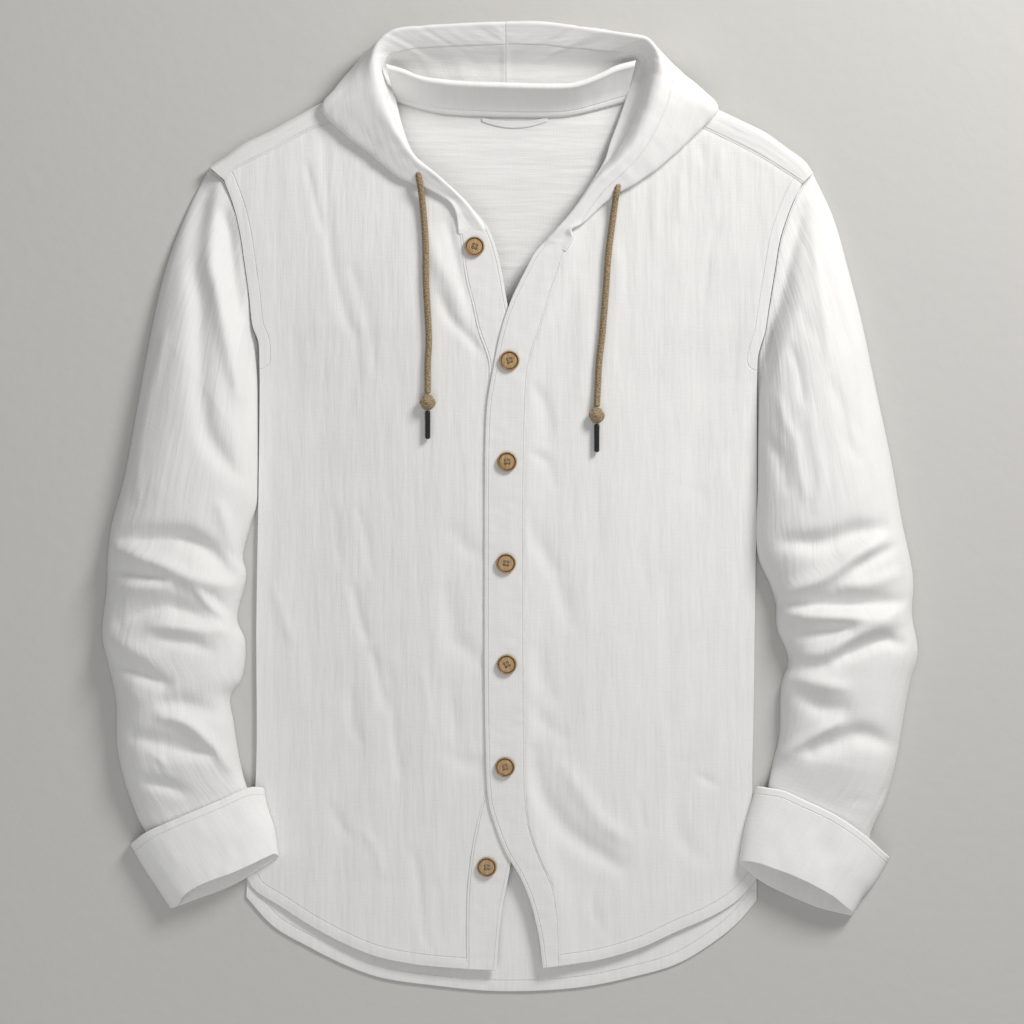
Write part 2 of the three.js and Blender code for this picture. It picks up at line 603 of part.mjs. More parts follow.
// Button, a dished disc with a raised rim and four holes
function button() {
  const R = BUTTON_RADIUS;
  const H = BUTTON_HEIGHT;
  const profile = [[0, 0], [R - 1.4, 0], [R, 1.2], [R, H - 0.7], [R - 0.8, H], [R - 1.8, H],
    [R - 2.7, H - 1], [0, H - 1.1]];
  const disc = new THREE.LatheGeometry(profile.map(([r, z]) => new THREE.Vector2(r, z)), 14);
  disc.rotateX(Math.PI / 2);
  const HOLE = { radius: 1.05, out: 2.1, sides: 5 };
  const drill = (angle) => {
    const pin = new THREE.CylinderGeometry(HOLE.radius, HOLE.radius, 3 * H, HOLE.sides);
    pin.rotateX(Math.PI / 2);
    pin.translate(Math.cos(angle) * HOLE.out, Math.sin(angle) * HOLE.out, 0);
    return join([pin]);
  };
  const holes = [45, 135, 225, 315].map((degrees) => drill(degrees * Math.PI / 180));
  return fromManifold(holes.reduce((solid, hole) => solid.subtract(hole), join([disc])));
}

// Height of a front's upper side, and the slope there
const frontTop = (x, y) => under(x, y) + CLOTH;
function slope(x, y) {
  const STEP = 4;
  const dx = (lift(x + STEP, y) - lift(x - STEP, y)) / (2 * STEP);
  const dy = (lift(x, y + STEP) - lift(x, y - STEP)) / (2 * STEP);
  return new THREE.Vector3(-dx, -dy, 1).normalize();
}

function cord(points) {
  const STEPS = 28;
  const SIDES = 8;
  const path = new THREE.CatmullRomCurve3(points.map(([x, y, over]) =>
    new THREE.Vector3(x, y, frontTop(x, y) + LAY + CORD_RADIUS + over)), false, 'centripetal');
  const circle = new THREE.Shape(Array.from({ length: SIDES }, (_, i) => {
    const turn = 2 * Math.PI * i / SIDES;
    return new THREE.Vector2(Math.cos(turn) * CORD_RADIUS, Math.sin(turn) * CORD_RADIUS);
  }));
  return new THREE.ExtrudeGeometry(circle, { extrudePath: path, steps: STEPS, bevelEnabled: false });
}

function knot(x, y) {
  const shape = new THREE.SphereGeometry(1, 12, 8);
  shape.scale(...KNOT);
  shape.translate(x, y, frontTop(x, y) + LAY + KNOT[2]);
  return shape;
}

function tip(x, top) {
  const R = TIP_RADIUS;
  const profile = [[0, 0], [R * 0.7, 0], [R, 0.8], [R, TIP_LENGTH - 1.6], [R * 0.6, TIP_LENGTH],
    [0, TIP_LENGTH]];
  const rod = new THREE.LatheGeometry(profile.map(([r, z]) => new THREE.Vector2(r, z)), 10);
  rod.rotateX(Math.PI);
  rod.translate(x, top, frontTop(x, top) + LAY + R + 0.8);
  return rod;
}

// The shirt
const shirt = new THREE.Group();
const add = (name, geometry, color, finish = {}) => {
  const material = new THREE.MeshStandardMaterial({ color, roughness: 0.95, ...finish });
  const mesh = new THREE.Mesh(geometry, material);
  mesh.name = name;
  shirt.add(mesh);
  return mesh;
};

add('back', back(), COLOR.cloth);
add('yoke', yoke(), COLOR.cloth);
add('front_right', front(RIGHT), COLOR.cloth);
add('front_left', front(LEFT), COLOR.cloth);
add('button_band', band(RIGHT, INNER_BAND_EDGE, INNER_BAND_ROWS, 0), COLOR.cloth);
add('buttonhole_band', band(LEFT, OUTER_BAND_EDGE, OUTER_BAND_ROWS, BAND_STEP), COLOR.cloth);
add('sleeve_right', sleeve(RIGHT, FOLDS_RIGHT), COLOR.cloth);
add('sleeve_left', sleeve(LEFT, FOLDS_LEFT), COLOR.cloth);
add('cuff_right', cuff(RIGHT), COLOR.cloth);
add('cuff_left', cuff(LEFT), COLOR.cloth);
add('hood_right', hood(HOOD_RIGHT), COLOR.cloth);
add('hood_left', hood(HOOD_LEFT), COLOR.cloth);
add('neckband', neckband(), COLOR.cloth);
add('hanger_loop', hangerLoop(), COLOR.cloth);

BUTTONS.forEach(([x, y, outer], i) => {
  const mesh = add(`button_${i + 1}`, button(), COLOR.wood, { roughness: 0.5 });
  mesh.quaternion.setFromUnitVectors(new THREE.Vector3(0, 0, 1), slope(x, y));
  const rest = under(x, y) + BAND + (outer ? BAND_STEP : 0) + LAY;
  mesh.position.set(x, y, rest);
});

for (const [side, points] of [['right', CORD_RIGHT], ['left', CORD_LEFT]]) {
  const [x, end] = points[points.length - 1];
  const middle = end - SEAM - KNOT[1];
  add(`drawcord_${side}`, cord(points), COLOR.cord);
  add(`cord_knot_${side}`, knot(x, middle), COLOR.cord);
  add(`cord_tip_${side}`, tip(x, middle - KNOT[1] - SEAM), COLOR.tip, { roughness: 0.3 });
}

export default shirt;
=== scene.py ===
# A white hooded shirt in cotton double gauze, laid out flat with its front up.
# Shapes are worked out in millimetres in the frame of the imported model, and
# written to the meshes in metres.
import math

import bmesh
import bpy
import numpy as np
from mathutils import Matrix, Vector


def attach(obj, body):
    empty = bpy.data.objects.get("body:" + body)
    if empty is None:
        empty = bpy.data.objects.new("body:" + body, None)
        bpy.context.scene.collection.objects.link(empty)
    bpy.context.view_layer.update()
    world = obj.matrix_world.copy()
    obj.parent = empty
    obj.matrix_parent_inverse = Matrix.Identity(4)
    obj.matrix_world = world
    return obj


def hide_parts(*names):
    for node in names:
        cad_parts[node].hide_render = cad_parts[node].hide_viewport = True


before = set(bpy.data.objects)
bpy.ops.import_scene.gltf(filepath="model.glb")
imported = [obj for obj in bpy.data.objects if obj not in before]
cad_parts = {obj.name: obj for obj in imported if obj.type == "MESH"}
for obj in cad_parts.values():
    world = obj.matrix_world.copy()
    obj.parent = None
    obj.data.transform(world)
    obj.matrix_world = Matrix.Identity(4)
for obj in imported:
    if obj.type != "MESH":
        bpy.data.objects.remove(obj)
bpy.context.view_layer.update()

MM = 0.001

# Driving sizes, as in the model
CLOTH = 1.6
SHELL = 1.1                  # thickness that the shells show
BAND = 1.9
CUFF_WALL = 3.0
SEAM = 0.3
BODY_SPAN = 190
BAND_STEP = BAND + SEAM
BAND_RAMP = 20
SLEEVE_GAP = 0.7
BACK_SEAM_Y = 178
BUTTON_RADIUS = 8.75
BUTTON_HEIGHT = 3.2
CORD_RADIUS = 2.75
TIP_RADIUS = 2.5
TIP_LENGTH = 25
LAY = 0.35
GRID = 2.8                   # usual side of a mesh face
CHANNEL = 20                 # width of the cord channel inside the hood
HOOD_STITCH = 10             # stitch line outside the hood, from its rim
HEM_STITCH = 9.5             # stitch line of hems and armholes, from their edge
FAR = 99.0                   # stands for no stitched line near
EDGE_ROWS = 26               # the model's rows along a front's edge
INNER_ROWS = 22              # of these, the rows that each band runs along
OUTER_ROWS = 21
FLOOR_DROP = 0.0002          # metres that the floor lies below the shirt's underside

# How high the fronts lie over the back, down the middle and along the side
LIFT = np.array([
    # y, middle, side
    [-425, 4.6, 0.0],
    [-330, 5.2, 0.0],
    [-250, 8.0, 0.0],
    [-100, 12.5, 0.0],
    [50, 15.0, 0.0],
    [110, 15.5, 1.5],
    [160, 15.5, 6.0],
    [220, 14.5, 9.5],
    [290, 12.5, 10.5],
    [345, 11.0, 10.0],
])

# Outlines of the wearer's right half, x and y
RIGHT = dict(
    sign=-1,
    side=[[-231, -326], [-223.5, -238], [-223, -100], [-221, 25], [-220, 125], [-221, 146]],
    armhole=[[-221, 146], [-226, 160], [-229, 187], [-233, 216], [-236, 237], [-241, 260],
             [-246, 275], [-251, 288]],
    shoulder_tip=[-264, 299],
    yoke_seam=[[-251, 288], [-242, 296], [-212, 311], [-190, 323], [-168, 334], [-154, 339],
               [-132, 347]],
    shoulder=[[-264, 299], [-253, 306], [-235, 319], [-212, 330], [-190, 342], [-168, 354],
              [-150, 361], [-134, 365]],
    hem=[[-231, -326], [-224, -336], [-202, -350], [-177, -366], [-145, -383],
         [-117, -394], [-82, -401], [-38, -405]],
    placket=[[-38, -405], [-38, -361], [-37, -330], [-32, -292], [-26, -264], [-21, -245],
             [-18, -204], [-18, 110], [-19, 130], [-28, 156], [-33, 179], [-38, 198],
             [-41, 216], [-44, 241], [-49, 263], [-58, 277], [-78, 289], [-97, 303],
             [-112, 320], [-124, 338], [-132, 347]],
    sleeve_outer=[[-264, 299], [-282, 264], [-302, 211], [-318, 139], [-329, 78],
                  [-339, 25], [-350, -16], [-353, -42], [-354, -69], [-358, -112],
                  [-353, -135], [-346, -169], [-345, -208], [-339, -238], [-326, -273],
                  [-319, -286], [-316, -302]],
    sleeve_inner=[[-221, 146], [-221.2, 25], [-222, 3], [-228, -17], [-234, -43],
                  [-231, -59], [-239, -98], [-232, -117], [-235, -150], [-245, -166],
                  [-242, -190], [-237, -221], [-231, -243], [-222, -264]],
    cuff_top=[[-334, -296], [-319, -285], [-293, -273], [-253, -256], [-229, -246],
              [-216, -246]],
    cuff_rim=[[-299, -352], [-280, -345], [-246, -332], [-219, -316], [-203, -306]],
    cuff_mouth=[[-299, -352], [-291.6, -348], [-287.8, -341.3], [-281.2, -335.5],
                [-273.5, -330.8], [-260.2, -325], [-243, -318.8], [-228.7, -312.6],
                [-214.4, -306], [-206, -303], [-203, -306]],
    cuff_outer=[[-334, -296], [-322, -317], [-314, -329], [-299, -352]],
    cuff_inner=[[-216, -246], [-213, -262], [-207, -281], [-203, -306]],
)

# Outlines of the wearer's left half, x and y
LEFT = dict(
    sign=1,
    side=[[217, -326], [213, -248], [214, -187], [215, -111], [217, 25], [217, 118],
          [218, 134]],
    armhole=[[218, 134], [224, 155], [227, 175], [232, 206], [237, 236], [242, 252],
             [248, 268], [256, 284]],
    shoulder_tip=[266, 294],
    yoke_seam=[[256, 284], [241, 294], [220, 307], [187, 324], [168, 333], [150, 341]],
    shoulder=[[266, 294], [259, 304], [243, 316], [225, 329], [205, 339], [184, 349],
              [166, 357], [151, 361]],
    hem=[[217, -326], [201, -344], [179, -358], [147, -372], [116, -386], [78, -397],
         [44, -402]],
    placket=[[44, -402], [42, -355], [37, -330], [28, -311], [18, -283], [14, -251],
             [13, -204], [13, 60], [16, 121], [21, 143], [27, 160], [37, 192], [43, 209],
             [48, 226], [53, 242], [66, 258], [84, 274], [100, 289], [118, 307], [134, 325],
             [150, 341]],
    sleeve_outer=[[266, 294], [284, 255], [297, 210], [309, 163], [320, 111], [335, 40],
                  [344, -11], [354, -62], [353, -94], [358, -127], [351, -154], [344, -192],
                  [338, -227], [329, -258], [316, -287], [316, -305]],
    sleeve_inner=[[218, 134], [217.2, 25], [217, -41], [228, -68], [233, -84], [234, -105],
                  [244, -133], [238, -155], [236, -200], [229, -230], [223, -262]],
    cuff_top=[[334, -308], [326, -301], [313, -289], [286, -270], [255, -255], [239, -248],
              [216, -245]],
    cuff_rim=[[301, -358], [272, -351], [231, -333], [216, -324], [201, -311]],
    cuff_mouth=[[301, -358], [299.6, -353.7], [293.8, -348.9], [285.2, -341.3],
                [274.7, -334.6], [260.4, -327], [244.2, -319.8], [231.8, -315.5],
                [217.4, -310.7], [204.5, -309.5], [201, -311]],
    cuff_outer=[[334, -308], [320, -331], [310, -343], [301, -358]],
    cuff_inner=[[216, -245], [210, -266], [206, -281], [201, -311]],
)

BACK_HEM = [[-232, -342], [-208, -368], [-177, -386], [-145, -402], [-114, -413],
            [-67, -420], [-10, -425], [59, -422], [106, -413], [147, -401], [179, -382],
            [201, -364], [217, -345]]
NECK_SEAM = [[-100, 357], [-86, 353], [-61, 347], [-37, 345], [25, 343.5], [52, 345],
             [79, 351], [102, 357]]
NECK_FOLD = [[-104, 386], [-92, 382], [-79, 376], [-61, 373], [-37, 371], [-6, 370],
             [32, 369], [56, 370], [79, 378], [92, 385], [105.5, 389]]
INNER_BAND_EDGE = [[-12, -406], [-10, -380], [-7, -352], [0, -316], [6, -270], [10, -230],
                   [11, -180], [11, 60], [9, 110], [5, 145], [-2, 177], [-8, 210],
                   [-13, 230], [-19, 245], [-28, 257], [-40, 268]]
OUTER_BAND_EDGE = [[29, -404], [25, -374], [18, -346], [9, -324], [-4, -302], [-15, -273],
                   [-19, -257], [-21.6, -203], [-22.4, -61], [-21.6, 60], [-20, 91],
                   [-15, 121], [-8, 155], [1, 182], [14, 209], [23, 225], [38, 240]]
# Share of the front's edge that each band runs along
INNER_SHARE = INNER_ROWS / EDGE_ROWS
OUTER_SHARE = OUTER_ROWS / EDGE_ROWS

# Sections of the hood from the front to the centre back
HOOD_RIGHT = np.array([
    # rimX, rimY, neckX, neckY, outX, outY, rimZ, neckZ, rest
    [-38, 266.5, -36.5, 266, -50, 265, 21, 18.6, 1.02],
    [-61, 289, -59, 286, -74, 281, 25, 18.0, 1],
    [-82, 306, -78, 301, -97, 290, 29, 16.0, 1],
    [-96, 326, -89, 318, -120, 309, 32, 12.0, 1],
    [-106, 344, -96, 339, -144, 328, 34, 9.0, 1],
    [-113, 362, -100, 356, -164, 349, 36, 7.0, 1.02],
    [-117, 380, -104, 370, -153, 367, 37, 8.0, 0.85],
    [-118, 393, -106, 379, -138, 385, 37, 9.0, 0.35],
    [-113, 407, -100, 380, -124, 401, 37, 10.0, 0.15],
    [-100, 417, -88, 373, -106, 412, 37, 10.0, 0.12],
    [-78, 420, -74, 370, -80, 413, 36, 10.0, 0.12],
    [-50, 422, -48, 368, -51, 415, 36, 10.0, 0.12],
    [-25, 423, -25, 367, -25, 416, 36, 10.0, 0.12],
    [-4.2, 424, -4.2, 366, -4.2, 416.5, 36, 10.0, 0.12],
])
# More sections at each front end, where the hood runs down into its band
HOOD_RIGHT_START = [[-16, 238, -15.5, 237.5, -45, 240, 15.8, 15, 0.8]]
HOOD_LEFT_START = [[29, 231, 29.5, 230.5, 48.6, 225, 19, 18, 0.965],
                   [35, 237.5, 35, 237, 54.8, 236, 20.4, 18.6, 1.03]]
HOOD_LEFT = np.array([
    [41.5, 244, 41, 243, 53.5, 244.5, 22, 19.5, 1.14],
    [57, 262, 55, 260, 65, 251, 25, 18.8, 1.1],
    [75, 286, 71, 284, 88, 272, 29, 17.0, 1.06],
    [94, 303, 83, 304, 114, 287, 32, 13.0, 1.03],
    [108, 320, 88, 320, 141, 308, 34, 10.0, 1],
    [119, 342, 95, 339, 169, 335, 36, 8.0, 1.02],
    [126, 362, 101, 356, 181, 351, 37, 7.0, 1.04],
    [130, 380, 106, 372, 165, 369, 37, 8.0, 0.8],
    [129, 396, 107, 384, 144, 387, 37, 9.0, 0.3],
    [120, 409, 100, 384, 128, 402, 37, 10.0, 0.15],
    [104, 413, 90, 379, 108, 408, 37, 10.0, 0.12],
    [79, 417, 77, 373, 80, 410, 36, 10.0, 0.12],
    [52, 421, 50, 368, 52, 414, 36, 10.0, 0.12],
    [25, 424, 25, 366, 25, 416, 36, 10.0, 0.12],
    [-3.8, 424, -3.8, 366, -3.8, 416.5, 36, 10.0, 0.12],
])

# Sleeve folds, read off the photograph under a millimetre grid: depth (below 0 is a
# trough; depths are judged from the shading), half-width, then points along the fold
FOLDS_RIGHT = [
    [-3, 6, [-252, 260], [-246, 235], [-243, 200], [-238, 170]],
    [4, 8, [-256, 285], [-261, 250], [-261, 215], [-255, 190], [-250, 160], [-243, 130],
     [-236, 100]],
    [-4, 9, [-266, 275], [-276, 235], [-277, 210], [-272, 180], [-271, 150], [-271, 120],
     [-269, 90], [-264, 65], [-252, 45], [-240, 30]],
    [1.5, 5, [-303, 150], [-309, 125], [-318, 90], [-325, 50], [-326, 10]],
    [3, 6, [-252, 0], [-246, -20], [-238, -42]],
    [-7, 9, [-338, -27], [-305, -26], [-285, -27], [-262, -38], [-245, -57]],
    [5, 8, [-350, -34], [-325, -42], [-300, -51], [-275, -62], [-245, -68]],
    [-4, 6, [-348, -53], [-330, -57], [-305, -60]],
    [3, 7, [-350, -70], [-320, -69], [-300, -68]],
    [-3, 5, [-258, -78], [-248, -88]],
    [2.5, 4, [-273, -72], [-262, -85], [-250, -95], [-238, -105]],
    [-5, 9, [-340, -100], [-320, -90], [-298, -86], [-280, -92], [-262, -101]],
    [4, 8, [-310, -103], [-280, -104], [-248, -106]],
    [-2.5, 7, [-308, -112], [-285, -116], [-262, -124]],
    [3, 9, [-355, -115], [-335, -122], [-315, -130]],
    [-5, 7, [-345, -135], [-325, -143], [-302, -153]],
    [2, 8, [-340, -160], [-325, -165]],
    [-4, 9, [-300, -170], [-280, -172], [-262, -178]],
    [4, 6, [-303, -182], [-285, -186], [-270, -197], [-255, -213], [-240, -235]],
    [-4, 8, [-328, -200], [-308, -204], [-290, -208], [-262, -216]],
    [1, 3, [-312, -215], [-300, -225]],
    [-4, 6, [-318, -240], [-300, -243], [-285, -252], [-274, -262]],
    [-0.8, 3, [-258, -240], [-253, -253]],
]
FOLDS_LEFT = [
    [-3, 6, [257, 262], [251, 240], [245, 215], [240, 190], [230, 160], [222, 130]],
    [1.2, 4, [265, 245], [268, 215], [273, 180], [277, 150], [278, 130]],
    [-1.2, 4, [287, 180], [292, 155], [297, 140]],
    [-1.2, 4, [256, 175], [260, 160], [264, 150]],
    [-1.5, 4, [246, 140], [252, 120], [255, 95]],
    [-1.5, 5, [282, 110], [290, 85], [294, 60], [302, 45]],
    [-1, 4, [303, 100], [303, 80], [308, 60]],
    [1.5, 4, [235, 95], [240, 75], [248, 60], [252, 35], [258, 10]],
    [1.2, 5, [262, 85], [265, 60], [272, 25], [268, 0]],
    [-3, 7, [225, 60], [235, 45], [240, 20]],
    [-6, 9, [243, -30], [275, -30], [300, -22], [324, -18]],
    [5, 7, [325, -28], [300, -42], [275, -60], [245, -74], [237, -82]],
    [-3, 5, [303, -52], [318, -43], [336, -34]],
    [3, 7, [290, -68], [315, -66], [340, -58]],
    [-6, 8, [243, -84], [290, -84], [341, -83]],
    [5, 7, [240, -92], [285, -94], [325, -95], [345, -88]],
    [-4, 6, [248, -113], [265, -109], [296, -106]],
    [4, 7, [250, -130], [275, -125], [300, -110], [345, -98]],
    [-5, 6, [288, -131], [305, -122], [325, -115], [342, -119]],
    [-1.5, 6, [265, -138], [285, -136]],
    [3, 7, [243, -147], [265, -152], [290, -157]],
    [-4, 9, [255, -165], [272, -174], [290, -176]],
    [3, 5, [232, -220], [250, -208], [270, -196], [285, -188]],
    [-5, 9, [266, -213], [285, -205], [305, -198], [335, -208]],
    [-2, 6, [284, -266], [300, -259], [312, -258]],
    [-1, 4, [252, -245], [265, -252]],
    [-1.6, 2.5, [330, -244], [321, -263], [311, -283]],
]
# Soft folds of the fronts, read in the same way
BODY_FOLDS = [
    # The right front, from the hood down
    [3.0, 8, [-70, 240], [-65, 220], [-52, 195], [-43, 170]],
    [-2.0, 4, [-55, 250], [-48, 225], [-42, 205], [-38, 185]],
    [-2.0, 4, [-60, 185], [-55, 170], [-42, 155], [-30, 143], [-22, 135]],
    [-1.2, 5, [-163, 325], [-160, 260], [-157, 225], [-150, 190], [-143, 165], [-135, 150],
     [-133, 110]],
    [-1.0, 5, [-138, 210], [-130, 185], [-124, 160], [-118, 120]],
    [-1.0, 3.5, [-178, 300], [-170, 265], [-165, 245]],
    [-1.0, 4, [-154, 0], [-152, -30], [-148, -50]],
    [-0.9, 3, [-133, 0], [-126, -30], [-120, -60]],
    [-1.5, 4, [-137, -70], [-131, -100], [-126, -115]],
    [-1.5, 4, [-121, -125], [-115, -150], [-110, -175]],
    [-1.3, 4, [-106, -140], [-103, -175], [-101, -205], [-97, -235]],
    [-1.0, 5, [-140, -160], [-138, -190], [-132, -205]],
    [-1.5, 8, [-47, -22], [-38, -35], [-30, -40]],
    [-1.8, 9, [-55, -75], [-51, -100], [-48, -115], [-38, -125], [-28, -135]],
    [-1.3, 8, [-52, -160], [-50, -180], [-47, -205]],
    [-1.2, 8, [-55, -215], [-42, -222], [-28, -226]],
    [0.8, 3, [-78, -140], [-73, -170], [-70, -195]],
    [0.9, 4, [-207, -70], [-200, -95], [-193, -115]],
    [-0.9, 5, [-155, -265], [-148, -280], [-140, -290]],
    [0.9, 4, [-127, -285], [-118, -300], [-113, -320]],
    [-1.0, 3.5, [-86, -300], [-80, -330], [-76, -370], [-72, -385]],
    [-1.0, 3.5, [-63, -330], [-61, -380]],
    # The left front, from the hood down
    [1.0, 4, [128, 292], [127, 240]],
    [1.0, 4, [149, 290], [150, 255]],
    [1.0, 4, [185, 316], [181, 250]],
    [-1.4, 5, [166, 322], [168, 306]],
    [-0.9, 3.5, [183, 290], [182, 255], [175, 225], [170, 180]],
    [-1.6, 14, [205, 190], [190, 140], [178, 110], [168, 60], [158, 20]],
    [1.0, 6, [92, 230], [95, 200], [90, 160], [88, 120]],
    [1.2, 7, [62, 200], [64, 150], [62, 100]],
    [-1.8, 6, [22, 105], [28, 95], [32, 75], [30, 60]],
    [-1.2, 5, [18, 48], [33, 40], [38, 20]],
    [-1.6, 8, [15, -5], [20, -25], [32, -43], [40, -55]],
    [-1.5, 8, [38, -55], [45, -75], [52, -100]],
    [-1.3, 8, [25, -125], [28, -145], [35, -165]],
    [-1.3, 8, [20, -175], [32, -190], [45, -200]],
    [-0.8, 8, [137, -60], [136, -120], [140, -200]],
    [-3.0, 9, [20, -215], [25, -245], [36, -265], [52, -285], [72, -300], [95, -315]],
    [2.0, 8, [48, -228], [62, -250], [80, -275], [100, -290]],
    [-0.8, 3, [112, -250], [118, -283]],
    [-1.5, 9, [155, -225], [145, -260], [148, -285], [162, -305]],
    [-1.0, 4, [165, -235], [180, -243]],
    [-1.0, 5, [78, -320], [72, -345], [80, -370]],
]
SLEEVE_DEPTH = 1.35          # the sleeves' fold depths are taken this much deeper
SLEEVE_HEIGHT = np.array([
    [0, 15], [0.1, 24], [0.25, 34], [0.45, 38], [0.6, 37], [0.75, 35], [0.88, 30],
    [0.95, 22], [1, 20],
])
CUFF_HEIGHT = 27
CUFF_REST = 4.8
CUFF_START = 0.955

BUTTONS = [
    # x, y, on the outer band
    [-31, 229, False], [-0.5, 129, True], [-2.6, 40.5, True], [-3.5, -48.4, True],
    [-2.8, -137, True], [-4.4, -227, True], [-20.4, -315, False],
]
CORD_RIGHT = [[-80.5, 296, 1.5], [-80, 292, 5.2], [-79.2, 286, 6], [-78, 279, 4.2],
              [-77, 271, 1.8], [-76, 262, 0.7],
              [-74, 234, 0.3], [-73.5, 198, 0], [-72, 171, 0], [-71, 145, 0],
              [-72, 127, 0], [-72, 110, 0.6], [-72, 99.8, 2]]
CORD_LEFT = [[95.2, 285, 1], [94.4, 281, 4.8], [93.4, 276, 5.6], [92, 268, 3],
             [91, 260, 1.2], [90, 252, 0.5],
             [86, 220, 0.3], [84, 191, 0], [81, 154, 0], [78, 127, 0], [77, 108, 0.4],
             [76.4, 97, 1.2], [76, 88.3, 2]]
KNOT = (6.5, 7, 5)


# Small maths
def smooth(t):
    t = np.clip(t, 0, 1)
    return t * t * (3 - 2 * t)


def mix(a, b, t):
    return a + (b - a) * t


def rail(points, steps=16):
    """A smooth curve through points, read by share of its length."""
    p = np.array(points, float)
    p = np.vstack([2 * p[0] - p[1], p, 2 * p[-1] - p[-2]])
    out = []
    for a, b, c, d in zip(p, p[1:], p[2:], p[3:]):
        k = np.cumsum([0] + [max(np.linalg.norm(v - u) ** 0.5, 1e-6)
                             for u, v in ((a, b), (b, c), (c, d))])
        t = np.linspace(k[1], k[2], steps, endpoint=False)[:, None]
        a1 = mix(a, b, (t - k[0]) / (k[1] - k[0]))
        a2 = mix(b, c, (t - k[1]) / (k[2] - k[1]))
        a3 = mix(c, d, (t - k[2]) / (k[3] - k[2]))
        b1 = mix(a1, a2, (t - k[0]) / (k[2] - k[0]))
        b2 = mix(a2, a3, (t - k[1]) / (k[3] - k[1]))
        out.append(mix(b1, b2, (t - k[1]) / (k[2] - k[1])))
    line = np.vstack(out + [p[-2:-1]])
    length = np.concatenate([[0], np.cumsum(np.linalg.norm(np.diff(line, axis=0), axis=1))])

    def at(t):
        run = np.clip(t, 0, 1) * length[-1]
        return np.stack([np.interp(run, length, line[:, c]) for c in range(line.shape[1])], -1)
    at.length = length[-1]
    at.line = line
    return at


def part_of(curve, low, high):
    """A stretch of a rail, as a rail."""
    def at(t):
        return curve(mix(low, high, np.asarray(t)))
    at.length = curve.length * abs(high - low)
    at.line = at(np.linspace(0, 1, 80))
    return at


def patch(start, end, first, last, s, t):
    """Plan grid between four curves: start and end run with s, first and last with t."""
    a, b = start(s)[None], end(s)[None]
    c, d = first(t)[:, None], last(t)[:, None]
    s2, t2 = s[None, :, None], t[:, None, None]
    corner = mix(mix(start(0.0), start(1.0), s2), mix(end(0.0), end(1.0), s2), t2)
    return mix(c, d, s2) + mix(a, b, t2) - corner


def spaced(length, step=GRID, fine=(0.5, 1.2, 2.2, 3.6)):
    """Shares along a length, closer together at both ends."""
    inner = np.linspace(fine[-1] + step * 0.8, length - fine[-1] - step * 0.8,
                        max(2, int(length / step)))
    ends = np.array([0.0, *fine])
    return np.concatenate([ends, inner, (length - ends)[::-1]]) / length


def line_distance(x, y, line):
    """Distance in plan to a polyline."""
    best = np.full(x.shape, 1e9)
    for a, b in zip(line[:-1], line[1:]):
        d = b - a
        t = np.clip(((x - a[0]) * d[0] + (y - a[1]) * d[1]) / max(d @ d, 1e-9), 0, 1)
        best = np.minimum(best, np.hypot(x - a[0] - d[0] * t, y - a[1] - d[1] * t))
    return best


def fold_rise(folds, x, y):
    rise = np.zeros(x.shape)
    for depth, half, *points in folds:
        line = rail(points, 6).line if len(points) > 2 else np.array(points, float)
        # A fold runs out at its ends and bends a little on its way
        first, last = line[0], line[-1]
        near = line_distance(x, y, line)
        end = np.minimum(np.hypot(x - first[0], y - first[1]),
                         np.hypot(x - last[0], y - last[1]))
        narrow = half * (0.75 + 0.25 * smooth(end / (3 * half)))
        rise += depth * np.exp(-((near / narrow) ** 2)) * (0.6 + 0.4 * smooth(end / (2 * half)))
    return rise


def value_noise(x, y, seed):
    """Smooth noise between -1 and 1 with one cell a unit."""
    rng = np.random.default_rng(seed)
    table = rng.uniform(-1, 1, (64, 64))
    i, j = np.floor(x).astype(int), np.floor(y).astype(int)
    u, v = smooth(x - i), smooth(y - j)
    at = lambda a, b: table[a % 64, b % 64]
    return mix(mix(at(i, j), at(i + 1, j), u), mix(at(i, j + 1), at(i + 1, j + 1), u), v)


def crinkle(x, y, seed, across=9.0, along=60.0):
    """The cloth's fine lengthwise crinkle, x across the streaks."""
    sway = 3 * value_noise(x / 40, y / 60, seed + 5)
    fine = value_noise((x + sway) / across, y / along, seed)
    wide = value_noise((x + sway) / (2.7 * across), y / (1.8 * along), seed + 1)
    return 0.16 * fine + 0.5 * wide


SIDE_X = {h["sign"]: np.array(h["side"] + h["armhole"][1:]) for h in (RIGHT, LEFT)}


def lift(x, y):
    x, y = np.asarray(x, float), np.asarray(y, float)
    edge = np.where(x < 0, np.interp(y, SIDE_X[-1][:, 1], SIDE_X[-1][:, 0]),
                    np.interp(y, SIDE_X[1][:, 1], SIDE_X[1][:, 0]))
    dome = np.sin(np.clip(np.abs(x - edge) / BODY_SPAN, 0, 1) * math.pi / 2) ** 1.4
    return mix(np.interp(y, LIFT[:, 0], LIFT[:, 2]), np.interp(y, LIFT[:, 0], LIFT[:, 1]), dome)


def under(x, y):
    return CLOTH + SEAM + lift(x, y)


def front_top(x, y):
    return under(x, y) + CLOTH


# Meshes
def add_object(name, data):
    obj = bpy.data.objects.new(name, data)
    bpy.context.scene.collection.objects.link(obj)
    return obj


